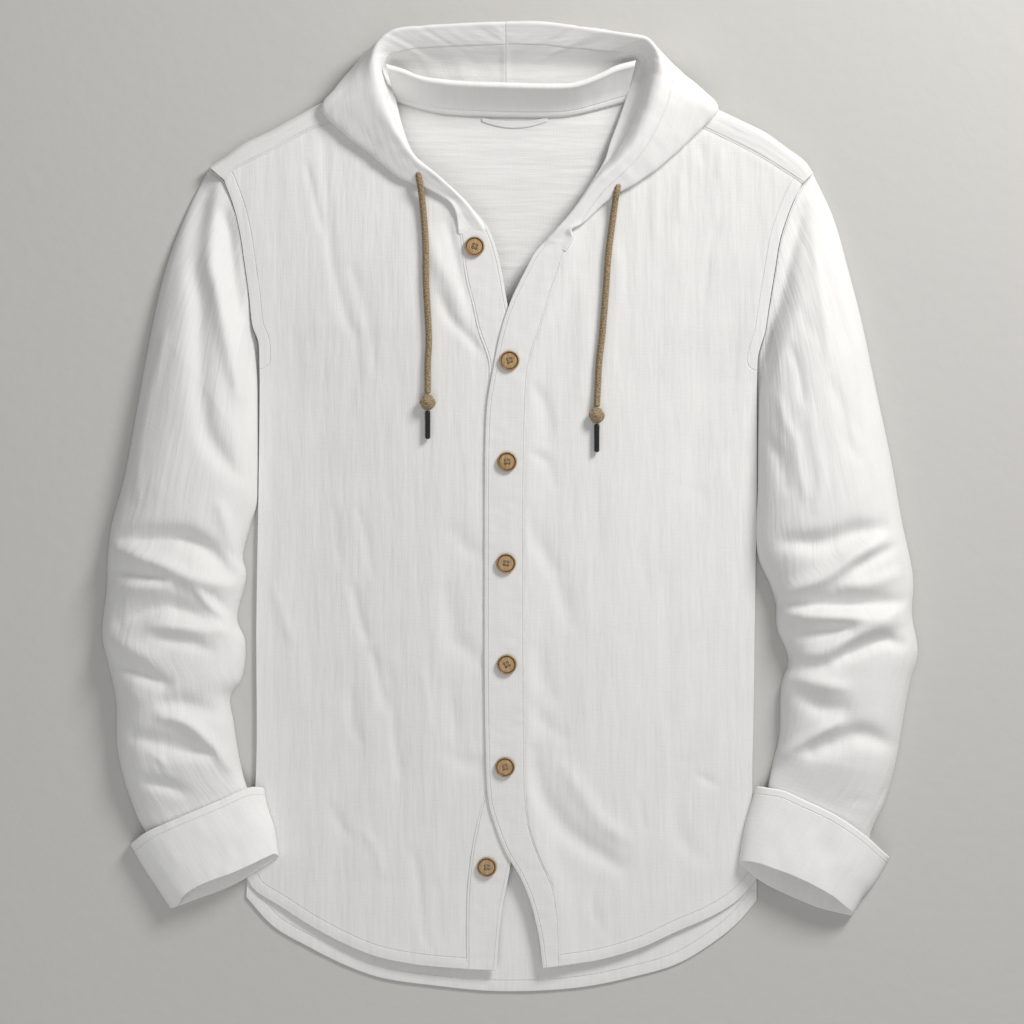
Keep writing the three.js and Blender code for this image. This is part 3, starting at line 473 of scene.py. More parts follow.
def make(name, points, faces, uv=None, lines=None):
    """A mesh object from points in mm, with its cut coordinates and stitch distances, and on a
    button the painted shade in their place.
    """
    mesh = bpy.data.meshes.new(name)
    points = np.asarray(points, float)
    mesh.from_pydata((points * MM).tolist(), [], faces)
    mesh.validate()
    if uv is not None:
        layer = mesh.uv_layers.new(name="cut")
        loops = np.empty(len(mesh.loops), int)
        mesh.loops.foreach_get("vertex_index", loops)
        layer.data.foreach_set("uv", (np.asarray(uv)[loops] * MM).ravel())
    data = np.full((len(points), 3), FAR) if lines is None else np.asarray(lines, float)
    attribute = mesh.attributes.new("lines", "FLOAT_VECTOR", "POINT")
    attribute.data.foreach_set("vector", data.ravel())
    mesh.polygons.foreach_set("use_smooth", [True] * len(mesh.polygons))
    mesh.update()
    return add_object(name, mesh)


def face_out(obj):
    bm = bmesh.new()
    bm.from_mesh(obj.data)
    bmesh.ops.recalc_face_normals(bm, faces=bm.faces)
    if bm.calc_volume(signed=True) < 0:
        bmesh.ops.reverse_faces(bm, faces=bm.faces)
    bm.to_mesh(obj.data)
    bm.free()
    return obj


def grid_faces(rows, columns, offset=0, wrap_rows=False, wrap_columns=False):
    i = np.arange(rows if wrap_rows else rows - 1)[:, None]
    j = np.arange(columns if wrap_columns else columns - 1)[None]
    at = lambda a, b: offset + (a % rows) * columns + (b % columns)
    return np.stack([at(i, j), at(i, j + 1), at(i + 1, j + 1), at(i + 1, j)], -1).reshape(-1, 4)


def capped_faces(rows, columns):
    """Faces of a stack of rings, closed by the two last points."""
    faces = grid_faces(rows, columns, wrap_columns=True).tolist()
    pole, last = rows * columns, (rows - 1) * columns
    faces += [[pole, (i + 1) % columns, i] for i in range(columns)]
    faces += [[pole + 1, last + i, last + (i + 1) % columns] for i in range(columns)]
    return faces


def shell(name, top, bottom, uv, lines=None):
    """Closed shell between two grids of points, with rounded rims."""
    middle = (top + bottom) / 2
    rows, columns = top.shape[:2]
    count = rows * columns
    points = np.vstack([top.reshape(-1, 3), bottom.reshape(-1, 3)])
    faces = [grid_faces(rows, columns), grid_faces(rows, columns, count)[:, ::-1]]
    index = np.arange(count).reshape(rows, columns)
    border = np.concatenate([index[0], index[1:, -1], index[-1, -2::-1], index[-2:0:-1, 0]])
    outward = middle.reshape(-1, 3)[border]
    inner = np.concatenate([
        middle[1], middle[1:, -2], middle[-2][-2::-1], middle[-2:0:-1, 1]])
    push = outward - inner
    push[:, 2] *= 0
    push /= np.maximum(np.linalg.norm(push, axis=1, keepdims=True), 1e-6)
    rim = outward + push * 0.12
    points = np.vstack([points, rim])
    n = len(border)
    k = np.arange(n)
    after = (k + 1) % n
    rims = 2 * count + k
    rims_after = 2 * count + after
    faces.append(np.stack([border[k], rims, rims_after, border[after]], -1))
    faces.append(np.stack([rims, border[k] + count, border[after] + count, rims_after], -1))
    faces = np.vstack(faces).tolist()
    flat_uv = np.asarray(uv).reshape(-1, 2)
    all_uv = np.vstack([flat_uv, flat_uv, flat_uv[border]])
    if lines is not None:
        flat = np.asarray(lines).reshape(-1, 3)
        lines = np.vstack([flat, flat, flat[border]])
    return face_out(make(name, points, faces, all_uv, lines))


def normals(grid, row, column):
    """A grid's normals, turned so that the one at row and column points up."""
    along = np.gradient(grid, axis=0)
    across = np.gradient(grid, axis=1)
    n = np.cross(along, across)
    n = n / np.maximum(np.linalg.norm(n, axis=-1, keepdims=True), 1e-9)
    return -n if n[row, column, 2] < 0 else n


def seam_lines(x, y, *curves):
    """Distances to up to three stitched lines, each a curve and the line's inset."""
    out = [line_distance(x, y, curve) - inset for curve, inset in curves]
    out += [np.full(x.shape, FAR)] * (3 - len(out))
    return np.stack(out, -1)


def edge_dip(distance, depth=0.32, reach=1.8):
    """Seams sink a little along a panel's edges."""
    return -depth * np.exp(-((distance / reach) ** 2))


# Materials
def ramp(nodes, links, value, low, high):
    node = nodes.new("ShaderNodeMapRange")
    node.interpolation_type = "SMOOTHSTEP"
    node.inputs["From Min"].default_value = low
    node.inputs["From Max"].default_value = high
    links.new(value, node.inputs["Value"])
    return node.outputs["Result"]


def maths(nodes, links, operation, a, b=None):
    node = nodes.new("ShaderNodeMath")
    node.operation = operation
    for socket, value in zip(node.inputs, (a, b)):
        if value is None:
            continue
        if isinstance(value, (int, float)):
            socket.default_value = value
        else:
            links.new(value, socket)
    return node.outputs[0]


def new_material(name, color, roughness):
    material = bpy.data.materials.new(name)
    material.use_nodes = True
    nodes = material.node_tree.nodes
    shader = nodes["Principled BSDF"]
    shader.inputs["Base Color"].default_value = (*color, 1)
    shader.inputs["Roughness"].default_value = roughness
    return material, nodes, material.node_tree.links, shader


def bump(nodes, links, height, distance, before=None, strength=1.0):
    node = nodes.new("ShaderNodeBump")
    node.inputs["Distance"].default_value = distance
    node.inputs["Strength"].default_value = strength
    links.new(height, node.inputs["Height"])
    if before is not None:
        links.new(before, node.inputs["Normal"])
    return node.outputs["Normal"]


def mapped(nodes, links, source, scale):
    node = nodes.new("ShaderNodeMapping")
    node.inputs["Scale"].default_value = scale
    links.new(source, node.inputs["Vector"])
    return node.outputs[0]


def noise_texture(nodes, links, scale, detail=2.0, vector=None):
    node = nodes.new("ShaderNodeTexNoise")
    node.inputs["Scale"].default_value = scale
    node.inputs["Detail"].default_value = detail
    if vector is not None:
        links.new(vector, node.inputs["Vector"])
    return node.outputs["Fac"]


def two_colors(nodes, links, value, low, low_color, high, high_color):
    node = nodes.new("ShaderNodeValToRGB")
    ends = node.color_ramp.elements
    ends[0].position, ends[0].color = low, (*low_color, 1)
    ends[1].position, ends[1].color = high, (*high_color, 1)
    links.new(value, node.inputs[0])
    return node.outputs[0]


def stored_lines(nodes, links):
    """The three values that a mesh keeps at each point, apart."""
    node = nodes.new("ShaderNodeAttribute")
    node.attribute_name = "lines"
    split = nodes.new("ShaderNodeSeparateXYZ")
    links.new(node.outputs["Vector"], split.inputs[0])
    return split.outputs


def grained_material(name, color, roughness, scale, detail, depth):
    material, nodes, links, shader = new_material(name, color, roughness)
    grain = noise_texture(nodes, links, scale, detail)
    links.new(bump(nodes, links, grain, depth), shader.inputs["Normal"])
    return material


CLOTH_WHITE = (0.83, 0.825, 0.81)


def cloth_material(name, turned=False, shade=1.0, crinkled=1.0):
    """Double gauze: an open plain weave, slubs, a lengthwise crinkle and stitched lines."""
    color = tuple(c * shade for c in CLOTH_WHITE)
    material, nodes, links, shader = new_material(name, color, 0.92)
    shader.inputs["Sheen Weight"].default_value = 0.12
    shader.inputs["Sheen Roughness"].default_value = 0.6
    shader.inputs["Specular IOR Level"].default_value = 0.25
    uv = nodes.new("ShaderNodeUVMap")
    uv.uv_map = "cut"

    def on_cut(sx, sy):
        scale = (sy, sx, 1) if turned else (sx, sy, 1)
        return mapped(nodes, links, uv.outputs[0], scale)

    def noise(sx, sy, detail=2.0):
        return noise_texture(nodes, links, 1.0, detail, on_cut(sx, sy))

    def threads(direction):
        node = nodes.new("ShaderNodeTexWave")
        node.wave_type = "BANDS"
        node.bands_direction = direction
        node.inputs["Scale"].default_value = 1.0
        node.inputs["Distortion"].default_value = 1.5
        node.inputs["Detail"].default_value = 1.0
        node.inputs["Detail Scale"].default_value = 0.3
        links.new(on_cut(190, 190), node.inputs["Vector"])
        return node.outputs["Fac"]

    weave = maths(nodes, links, "MULTIPLY", threads("X"), threads("Y"))
    # Slubs along and across the cloth
    fine = maths(nodes, links, "ADD", noise(900, 60), noise(70, 800))
    streaks = noise(230, 22, 3.0)
    wide = noise(70, 10, 2.0)
    mottle = noise(45, 32, 3.0)
    stitched = stored_lines(nodes, links)
    groove = None
    for axis in "XYZ":
        away = maths(nodes, links, "ABSOLUTE", stitched[axis])
        here = maths(nodes, links, "SUBTRACT", 1.0, ramp(nodes, links, away, 0.15, 0.8))
        groove = here if groove is None else maths(nodes, links, "MAXIMUM", groove, here)
    pucker = noise(330, 330, 1.0)
    groove_bump = maths(nodes, links, "MULTIPLY", groove,
                        maths(nodes, links, "ADD", pucker, 0.5))
    groove_depth = maths(nodes, links, "MULTIPLY", groove_bump, -1.0)
    step = bump(nodes, links, wide, 0.0013 * crinkled)
    step = bump(nodes, links, streaks, 0.00045 * crinkled, step)
    step = bump(nodes, links, groove_depth, 0.0003, step)
    step = bump(nodes, links, fine, 0.00014, step)
    step = bump(nodes, links, weave, 0.00003, step)
    links.new(step, shader.inputs["Normal"])
    tint = nodes.new("ShaderNodeMix")
    tint.data_type = "RGBA"
    amount = maths(nodes, links, "MULTIPLY", maths(nodes, links, "ADD", mottle, streaks), 0.5)
    # Painted shade darkens the cloth along the stitch grooves; the mottle and streaks vary its tone
    # at random.
    groove_shade_and_mottle = maths(nodes, links, "ADD", maths(nodes, links, "MULTIPLY", groove, 0.2),
                   ramp(nodes, links, amount, 0.35, 0.7))
    links.new(groove_shade_and_mottle, tint.inputs["Factor"])
    tint.inputs["A"].default_value = (*color, 1)
    tint.inputs["B"].default_value = (*(c * 0.965 for c in color), 1)
    links.new(tint.outputs["Result"], shader.inputs["Base Color"])
    return material


MATERIALS = {
    "cloth": cloth_material("gauze"),
    "crosswise": cloth_material("gauze_crosswise", turned=True, shade=0.97),
    "band": cloth_material("gauze_band", crinkled=0.5),
    # The hood and the turned pieces (cuffs, neckband) use the same gauze made lighter: painted
    # light for the light that their cloth lets through and throws back.
    "hood": cloth_material("gauze_hood_painted_light", shade=1.06, crinkled=0.6),
    "turned": cloth_material("gauze_turned_painted_light", shade=1.1, crinkled=0.3),
}


def dress(obj, material, slot="cloth", *nodes, body="root"):
    obj.data.materials.clear()
    obj.data.materials.append(material)
    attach(obj, body)
    if nodes:
        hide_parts(*nodes)
    return obj


# Camera: straight down, so far off that the frame is 901 mm wide at the surface
CAMERA_HEIGHT = 4.0
FRAME_WIDTH = 0.901
FRAME_CENTRE = (0.0018, -0.0035)
SENSOR = 36
camera_data = bpy.data.cameras.new("camera")
camera_data.sensor_width = SENSOR
camera_data.lens = SENSOR * CAMERA_HEIGHT / FRAME_WIDTH
camera = add_object("camera", camera_data)
camera.location = (*FRAME_CENTRE, CAMERA_HEIGHT)
bpy.context.scene.camera = camera


# Cords: a knitted tube with a rolled end knot and a moulded tip
def knit_material():
    material, nodes, links, shader = new_material("cord_knit", (0.30, 0.19, 0.085), 0.9)
    shader.inputs["Sheen Weight"].default_value = 0.25
    uv = nodes.new("ShaderNodeUVMap")
    uv.uv_map = "cut"
    noise = noise_texture(nodes, links, 1.0, 3.0,
                          mapped(nodes, links, uv.outputs[0], (600, 900, 1)))
    colors = two_colors(nodes, links, noise, 0.3, (0.11, 0.068, 0.03),
                        0.72, (0.52, 0.39, 0.235))
    links.new(colors, shader.inputs["Base Color"])
    links.new(bump(nodes, links, noise, 0.0005), shader.inputs["Normal"])
    return material


def tube_mesh(name, path, radius, relief, sides=20):
    """A tube round a path in mm, with relief(run, turn) on its radius and closed ends."""
    path = np.asarray(path, float)
    step = np.gradient(path, axis=0)
    step /= np.linalg.norm(step, axis=1, keepdims=True)
    side = np.cross(step, [0, 0, 1])
    side /= np.linalg.norm(side, axis=1, keepdims=True)
    up = np.cross(side, step)
    run = np.concatenate([[0], np.cumsum(np.linalg.norm(np.diff(path, axis=0), axis=1))])
    turn = np.arange(sides) / sides * 2 * math.pi
    r = radius * (1 + relief(run[:, None], turn[None]))
    r *= np.sqrt(np.clip((np.minimum(run, run[-1] - run) + 0.12) / 1.4, 0, 1))[:, None]
    rings = path[:, None] + r[..., None] * (
        np.cos(turn)[None, :, None] * side[:, None] + np.sin(turn)[None, :, None] * up[:, None])
    points = np.vstack([rings.reshape(-1, 3), path[:1], path[-1:]])
    faces = capped_faces(len(path), sides)
    uv = np.stack(np.broadcast_arrays(turn[None] * radius, run[:, None]), -1).reshape(-1, 2)
    uv = np.vstack([uv, [[0, 0]], [[0, run[-1]]]])
    return face_out(make(name, points, faces, uv)), run[-1]


def knit_relief(run, turn):
    """Slanting stitches in columns along a knitted cord."""
    column = turn * 4 / math.pi
    slant = np.where(np.floor(column) % 2 == 0, 1, -1) * 0.5 * (column % 1)
    return 0.15 * np.cos(2 * math.pi * (run / 2.6 + slant)) + 0.06 * np.abs(
        np.sin(column * math.pi)) - 0.04


def lump(name, scale, centre, relief):
    """A closed lump of the given half sizes with relief over it."""
    rows, columns = 40, 56
    polar = np.linspace(0.02, math.pi - 0.02, rows)[:, None]
    turn = np.linspace(0, 2 * math.pi, columns, endpoint=False)[None]
    unit = np.stack(np.broadcast_arrays(np.sin(polar) * np.cos(turn), np.cos(polar) + 0 * turn,
                                        np.sin(polar) * np.sin(turn)), -1)
    grow = 1 + relief(polar, turn)
    points = (unit * grow[..., None] * np.array(scale) + np.array(centre)).reshape(-1, 3)
    poles = np.array([[0, scale[1], 0], [0, -scale[1], 0]]) + np.array(centre)
    faces = capped_faces(rows, columns)
    uv = np.stack(np.broadcast_arrays(turn * scale[0], polar * scale[1]), -1).reshape(-1, 2)
    uv = np.vstack([uv, [[0, 0], [0, 0]]])
    return face_out(make(name, np.vstack([points, poles]), faces, uv))


def knot_relief(polar, turn):
    """A short rolled collar with a waist near the cord, as a heat-shrunk end has."""
    waist = -0.10 * np.exp(-((polar - 0.95) / 0.16) ** 2)
    belt = 0.06 * np.exp(-((polar - 1.5) / 0.35) ** 2)
    twist = 0.05 * np.sin(5 * turn + 4 * polar)
    return waist + belt + twist * np.sin(polar)


KNIT = knit_material()
TIP_BLACK = grained_material("tip_plastic", (0.012, 0.012, 0.013), 0.28, 900, 2.0, 0.00004)


def make_cord(side, route):
    table = np.array(route)
    curve = rail(np.column_stack([
        table[:, :2], front_top(table[:, 0], table[:, 1]) + LAY + CORD_RADIUS + table[:, 2]]))
    path = curve(np.linspace(0, 1, 520))
    name = f"drawcord_{side}"
    cord, _ = tube_mesh(f"cord_{side}", path, CORD_RADIUS * 0.97, knit_relief)
    dress(cord, KNIT, "cord", name)
    x, end = table[-1][:2]
    middle = end - SEAM - KNOT[1]
    z = float(front_top(x, middle)) + LAY + KNOT[2]
    knot = lump(f"knot_{side}", KNOT, (x, middle, z), knot_relief)
    dress(knot, KNIT, "cord", f"cord_knot_{side}")
    top = middle - KNOT[1] - SEAM
    line = np.linspace([x, top, 0], [x, top - TIP_LENGTH, 0], 60)
    line[:, 2] = float(front_top(x, top)) + LAY + TIP_RADIUS + 0.8
    ridge = lambda run, turn: 0.05 * np.exp(-((run - 3.0) / 0.8) ** 2) - 0.03 * smooth(run / 20)
    tip, _ = tube_mesh(f"tip_{side}", line, TIP_RADIUS * 0.95, ridge, 28)
    dress(tip, TIP_BLACK, "tip", f"cord_tip_{side}")


make_cord("right", CORD_RIGHT)
make_cord("left", CORD_LEFT)


# Fronts
def placket(half):
    return rail(half["placket"])


def make_front(half, name):
    sign = half["sign"]
    side = rail(half["side"] + half["armhole"][1:])
    edge = placket(half)
    hem = rail(half["hem"][:-1] + [edge(0.0).tolist()])
    top = rail(half["yoke_seam"][:-1] + [edge(1.0).tolist()])
    s = spaced(200)
    t = spaced(edge.length)
    plan = patch(hem, top, side, edge, s, t)
    x, y = plan[..., 0], plan[..., 1]
    width = abs(edge(0.5)[0] - side(0.5)[0])
    z = under(x, y) + CLOTH
    row = t[:, None] * EDGE_ROWS
    if sign > 0:
        on_band = 1 - smooth((row - OUTER_ROWS) / 2)
        z = z + BAND_STEP * (1 - smooth((1 - s[None]) * width / BAND_RAMP)) * on_band
    to_side = line_distance(x, y, side.line)
    to_hem = line_distance(x, y, hem.line)
    to_edge = line_distance(x, y, edge.line)
    to_yoke = line_distance(x, y, top.line)
    inner = smooth(np.minimum(np.minimum(to_side, to_hem), to_yoke) / 14)
    inner_all = inner * smooth(to_edge / 8)
    z = z + fold_rise(BODY_FOLDS, x, y) * inner_all
    z = z + crinkle(x, y, 11 if sign < 0 else 23) * inner
    for distance in (to_yoke, np.where(y > 140, to_side, FAR)):
        z = z + edge_dip(distance)
    z = z + edge_dip(to_edge, 0.16)
    z = z + 0.35 * np.exp(-((to_hem - 5) / 4) ** 2)
    topline = np.dstack([x, y, z])
    bottom = np.dstack([x, y, z - SHELL])
    uv = np.dstack([x + sign * 300, y + 500])
    armhole = side.line[side.line[:, 1] > 130]
    lines = seam_lines(x, y, (hem.line, HEM_STITCH), (armhole, HEM_STITCH))
    return shell(name, topline, bottom, uv, lines)


# Bands
def make_band(half, free, share, step, name):
    seam = part_of(placket(half), 0, share)
    edge = rail(free)
    t = spaced(seam.length, 2.2)
    s = spaced(30, 1.6, (0.4, 1.0, 1.8))
    plan = mix(seam(t)[:, None], edge(t)[:, None], s[None, :, None])
    x, y = plan[..., 0], plan[..., 1]
    z = under(x, y) + step + BAND
    to_seam = line_distance(x, y, seam.line)
    to_edge = line_distance(x, y, edge.line)
    # The band's edges curl a little and its length puckers between the stitches
    z = z + edge_dip(to_seam, 0.12) + edge_dip(to_edge, 0.4, 1.4)
    z = z + 0.18 * value_noise(x / 9, y / 6, 31) + 0.3 * value_noise(x / 25, y / 38, 37)
    top = np.dstack([x, y, z])
    bottom = np.dstack([x, y, z - BAND + 0.2])
    uv = np.dstack([x + 900 + step * 50, y + 500])
    lines = seam_lines(x, y, (seam.line, 1.6), (edge.line, 3.0))
    return shell(name, top, bottom, uv, lines)


# Back and yoke
def make_back():
    seam_y = BACK_SEAM_Y - SEAM / 2
    ends = {}
    for half in (RIGHT, LEFT):
        points = [p for p in half["side"] + half["armhole"][1:] if p[1] < BACK_SEAM_Y - 5]
        x = float(np.interp(BACK_SEAM_Y, SIDE_X[half["sign"]][:, 1], SIDE_X[half["sign"]][:, 0]))
        hem_end = BACK_HEM[0] if half is RIGHT else BACK_HEM[-1]
        ends[half["sign"]] = rail([hem_end] + points + [[x, seam_y]])
    hem = rail(BACK_HEM)
    seam = rail([ends[-1](1.0).tolist(), [0, seam_y], ends[1](1.0).tolist()])
    s, t = spaced(450, 4), spaced(520, 4)
    plan = patch(hem, seam, ends[-1], ends[1], s, t)
    x, y = plan[..., 0], plan[..., 1]
    to_hem = line_distance(x, y, hem.line)
    z = CLOTH - 0.1 + 0.35 * np.exp(-((to_hem - 5) / 4) ** 2) + 0.12 * value_noise(x / 9, y / 60, 3)
    top = np.dstack([x, y, np.minimum(z, CLOTH + 0.2)])
    bottom = np.dstack([x, y, 0 * x])
    uv = np.dstack([x + 300, y + 500])
    return shell("back_panel", top, bottom, uv, seam_lines(x, y, (hem.line, HEM_STITCH)))


def yoke_plate():
    y0 = BACK_SEAM_Y + SEAM / 2
    sides = {}
    tops = {}
    for half in (RIGHT, LEFT):
        x0 = float(np.interp(BACK_SEAM_Y, SIDE_X[half["sign"]][:, 1], SIDE_X[half["sign"]][:, 0]))
        above = [p for p in half["armhole"] if p[1] > BACK_SEAM_Y + 5]
        sides[half["sign"]] = rail([[x0, y0]] + above)
        p = np.array(half["shoulder"], float)
        d = np.gradient(p, axis=0)
        d /= np.linalg.norm(d, axis=1, keepdims=True)
        inward = p + 8.4 * half["sign"] * np.column_stack([-d[:, 1], d[:, 0]])
        tops[half["sign"]] = inward[1:].tolist()
    outline = ([RIGHT["armhole"][-1]] + tops[-1] + [[-104, 360]] + NECK_SEAM + [[106, 360]]
               + tops[1][::-1] + [LEFT["armhole"][-1]])
    top_line = rail(outline, 8)
    low = rail([sides[-1](0.0).tolist(), [0, y0], sides[1](0.0).tolist()])
    s, t = spaced(540, 4), spaced(150, 4)
    plan = patch(low, top_line, sides[-1], sides[1], s, t)
    x, y = plan[..., 0], plan[..., 1]
    z = CLOTH - 0.1 + 0.12 * value_noise(x / 60, y / 9, 4)
    return x, y, z, low


def make_yoke():
    x, y, z, low = yoke_plate()
    top = np.dstack([x, y, z])
    uv = np.dstack([x + 300, y + 1200])
    plate = shell("yoke_panel", top, np.dstack([x, y, 0 * x]), uv,
                  seam_lines(x, y, (low.line, 1.8)))
    return join([plate] + [shoulder_strip(half) for half in (RIGHT, LEFT)])


def shoulder_strip(half):
    seam, fold = rail(half["yoke_seam"]), rail(half["shoulder"])
    t = spaced(fold.length, 2.6)
    a, b = seam(t), fold(t)
    width = np.linalg.norm(b - a, axis=1)
    high = under(a[:, 0], a[:, 1]) + CLOTH * 0.5
    low = np.full_like(high, SHELL / 2 + 0.05)
    middle, round_ = (high + low) / 2, (high - low) / 2
    inner = 1 - round_ / width
    columns = []

    def column(share, z):
        xy = mix(a, b, np.asarray(share)[:, None])
        columns.append(np.column_stack([xy, z]))
    for k in np.concatenate([[0, 0.04, 0.1], np.linspace(0.2, 1, 8)]):
        dip = -0.5 * np.exp(-((k * 12) ** 2))
        column(inner * k, high + dip + 0.5 * np.sin(math.pi * k))
    for degrees in range(15, 180, 15):
        turn = math.radians(degrees)
        column(inner + math.sin(turn) * round_ / width, middle + math.cos(turn) * round_)
    for k in (0, 4, 7):
        column(inner - k / width, low)
    grid = np.stack(columns, 1)
    grid[..., 2] += 0.25 * value_noise(grid[..., 0] / 14, grid[..., 1] / 14, 8) * (
        grid[..., 2] > 4)
    n = normals(grid, 0, 2)
    top, bottom = grid + n * SHELL / 2, grid - n * SHELL / 2
    bottom[..., 2] = np.maximum(bottom[..., 2], 0)
    top[..., 2] = np.maximum(top[..., 2], 0)
    along = np.broadcast_to((t * fold.length)[:, None], grid.shape[:2])
    across = np.broadcast_to(np.arange(grid.shape[1])[None] * 2.2, grid.shape[:2])
    uv = np.dstack([along, across + 2000])
    near = line_distance(grid[..., 0], grid[..., 1], seam.line)
    far = np.full(near.shape, FAR)
    on_top = grid[..., 2] > middle[:, None]
    lines = np.dstack([np.where(on_top, near - 2.2, FAR), far, far])
    return shell("strip", top, bottom, uv, lines)


def join(objects):
    first = objects[0]
    with bpy.context.temp_override(active_object=first, selected_editable_objects=objects):
        bpy.ops.object.join()
    return first


# Sleeves and cuffs
def arch(s):
    return np.sqrt(np.clip(1 - np.abs(2 * s - 1) ** 2.6, 0, 1))


def inset(section, d):
    """A closed clockwise section drawn in by d."""
    ahead = np.roll(section, -1, 0) - section
    ahead /= np.maximum(np.linalg.norm(ahead, axis=1, keepdims=True), 1e-9)
    n = np.column_stack([ahead[:, 1], -ahead[:, 0]])
    both = n + np.roll(n, 1, 0)
    both /= np.maximum(np.linalg.norm(both, axis=1, keepdims=True), 1e-9)
    cosine = np.maximum(0.75, (both * n).sum(1))[:, None]
    return section + both * d / cosine


def flat_tube(name, plan_rows, shares, wall, top, base, uv_offset, lines_of, round_ends=True,
              upper_rows=None):
    """A flattened tube as one closed wall, outside, over its end and back inside."""
    upper = (1 - np.cos(np.pi * np.linspace(0, 1, 62))) / 2
    lower = upper[::2][1:-1][::-1]
    around = np.concatenate([upper, lower])
    is_top = np.concatenate([np.ones(len(upper), bool), np.zeros(len(lower), bool)])
    rings_out, rings_in, uvs, lines = [], [], [], []
    run = 0
    previous = None
    for t in shares:
        plan = plan_rows(t)
        ends = plan(np.array([0.0, 1.0]))
        width = np.linalg.norm(ends[1] - ends[0])
        xy_up = plan(upper)
        z_up = top(upper, t, xy_up)
        z_low = base(lower, t)
        section = np.column_stack([around * width, np.concatenate([z_up, z_low])])
        inner = inset(section, wall)

        def place(sec):
            s = np.clip(sec[:, 0] / width, 0, 1)
            xy = plan(s)
            if upper_rows is not None:
                xy = np.where(is_top[:, None], upper_rows(t)(s), xy)
            return np.column_stack([xy, sec[:, 1]])
        rings_out.append(place(section))
        rings_in.append(place(inner))
        centre = ends.mean(0)
        if previous is not None:
            run += np.linalg.norm(centre - previous)
        previous = centre
        girth = np.concatenate([[0], np.cumsum(np.linalg.norm(np.diff(section, axis=0), axis=1))])
        uvs.append(np.column_stack([girth + uv_offset, np.full(len(around), run)]))
        lines.append(lines_of(around, t, is_top))
    out, inn = np.array(rings_out), np.array(rings_in)
    uvs, lines = np.array(uvs), np.array(lines)
    rim = (out + inn) / 2
    last_push = out[-1] - out[-2]
    last_push /= np.maximum(np.linalg.norm(last_push, axis=-1, keepdims=True), 1e-6)
    first_push = out[0] - out[1]
    first_push /= np.maximum(np.linalg.norm(first_push, axis=-1, keepdims=True), 1e-6)
    k = wall * (0.3 if round_ends else 0.05)
    rows = [*out, rim[-1] + last_push * k, *inn[::-1], rim[0] + first_push * k]
    uv_rows = [*uvs, uvs[-1], *uvs[::-1], uvs[0]]
    line_rows = [*lines, lines[-1], *(lines[::-1] * 0 + FAR), lines[0]]
    grid = np.array(rows)
    faces = grid_faces(len(rows), len(around), wrap_rows=True, wrap_columns=True).tolist()
    return face_out(make(name, grid.reshape(-1, 3), faces, np.vstack(uv_rows),
                         np.vstack(line_rows)))


def make_sleeve(half, folds, name, seed):
    away = lambda points: [[x + half["sign"] * SLEEVE_GAP, y] for x, y in points]
    armhole = rail(away([half["shoulder_tip"]] + half["armhole"][::-1]))
    outer, inner = rail(away(half["sleeve_outer"])), rail(away(half["sleeve_inner"]))
    end = lambda s: mix(outer(1.0), inner(1.0), np.asarray(s)[..., None])

    def plan_rows(t):
        return lambda s: patch(armhole, end, outer, inner, np.asarray(s, float), np.array([t]))[0]

    def base(s, t):
        in_cuff = CUFF_WALL + 2 * SEAM + CUFF_REST * smooth((s - 0.1) / 0.45)
        return in_cuff * smooth((t - 0.9) / (CUFF_START - 0.9))

    def top(s, t, xy):
        x, y = xy[:, 0], xy[:, 1]
        seam = CLOTH + SEAM + CLOTH + np.interp(y, LIFT[:, 0], LIFT[:, 2])
        height = mix(seam, np.interp(t, *SLEEVE_HEIGHT.T), smooth(t / 0.12))
        in_reach = 1 - smooth((t - 0.9) / 0.05)
        fold = SLEEVE_DEPTH * fold_rise(folds, x, y) * arch(s) * in_reach
        fine = crinkle(x - 0.25 * y, y, seed) * arch(s) * in_reach * smooth(t / 0.02)
        low = base(s, t)
        # A deep fold never reaches through the layer below
        return np.maximum(low + (height - low) * arch(s) + fold + fine, low + 1.5 * arch(s))

    def lines_of(around, t, is_top):
        out = np.full((len(around), 3), FAR)
        out[:, 0] = np.where(is_top, t * outer.length - 2.0, FAR)
        return out
    shares = np.concatenate([[0, 0.001, 0.0025, 0.005], np.linspace(0.009, 1, 215)])
    return flat_tube(name, plan_rows, shares, SHELL, top, base, 50, lines_of, False)


def make_cuff(half, name, seed):
    start = rail(half["cuff_top"])
    # The upper layer ends short of the lower one, which shows in the mouth
    rim, mouth = rail(half["cuff_rim"]), rail(half["cuff_mouth"])
    outer, inner = rail(half["cuff_outer"]), rail(half["cuff_inner"])
    length = inner.length

    def rows_to(end):
        return lambda t: lambda s: patch(
            start, end, outer, inner, np.asarray(s, float), np.array([t]))[0]

    def base(s, t):
        return CUFF_REST * smooth((s - 0.4) / 0.32)

    def top(s, t, xy):
        low = base(s, t)
        dents = (0.9 * value_noise(s * 7, t * 2.2 + 0 * s, seed)
                 + 0.5 * value_noise(s * 16, t * 4 + 0 * s, seed + 2)) * arch(s)
        bulge = 0.6 * math.sin(math.pi * t)
        return low + (CUFF_HEIGHT - 1.2 - low) * arch(s) + dents + bulge * arch(s)

    def lines_of(around, t, is_top):
        out = np.full((len(around), 3), FAR)
        out[:, 0] = t * length - 6.0
        return out
    shares = np.concatenate([[0, 0.01, 0.025, 0.05], np.linspace(0.08, 0.94, 26),
                             [0.965, 0.985, 0.995, 1]])
    return flat_tube(name, rows_to(rim), shares, CUFF_WALL - 0.4, top, base, 50, lines_of,
                     upper_rows=rows_to(mouth))


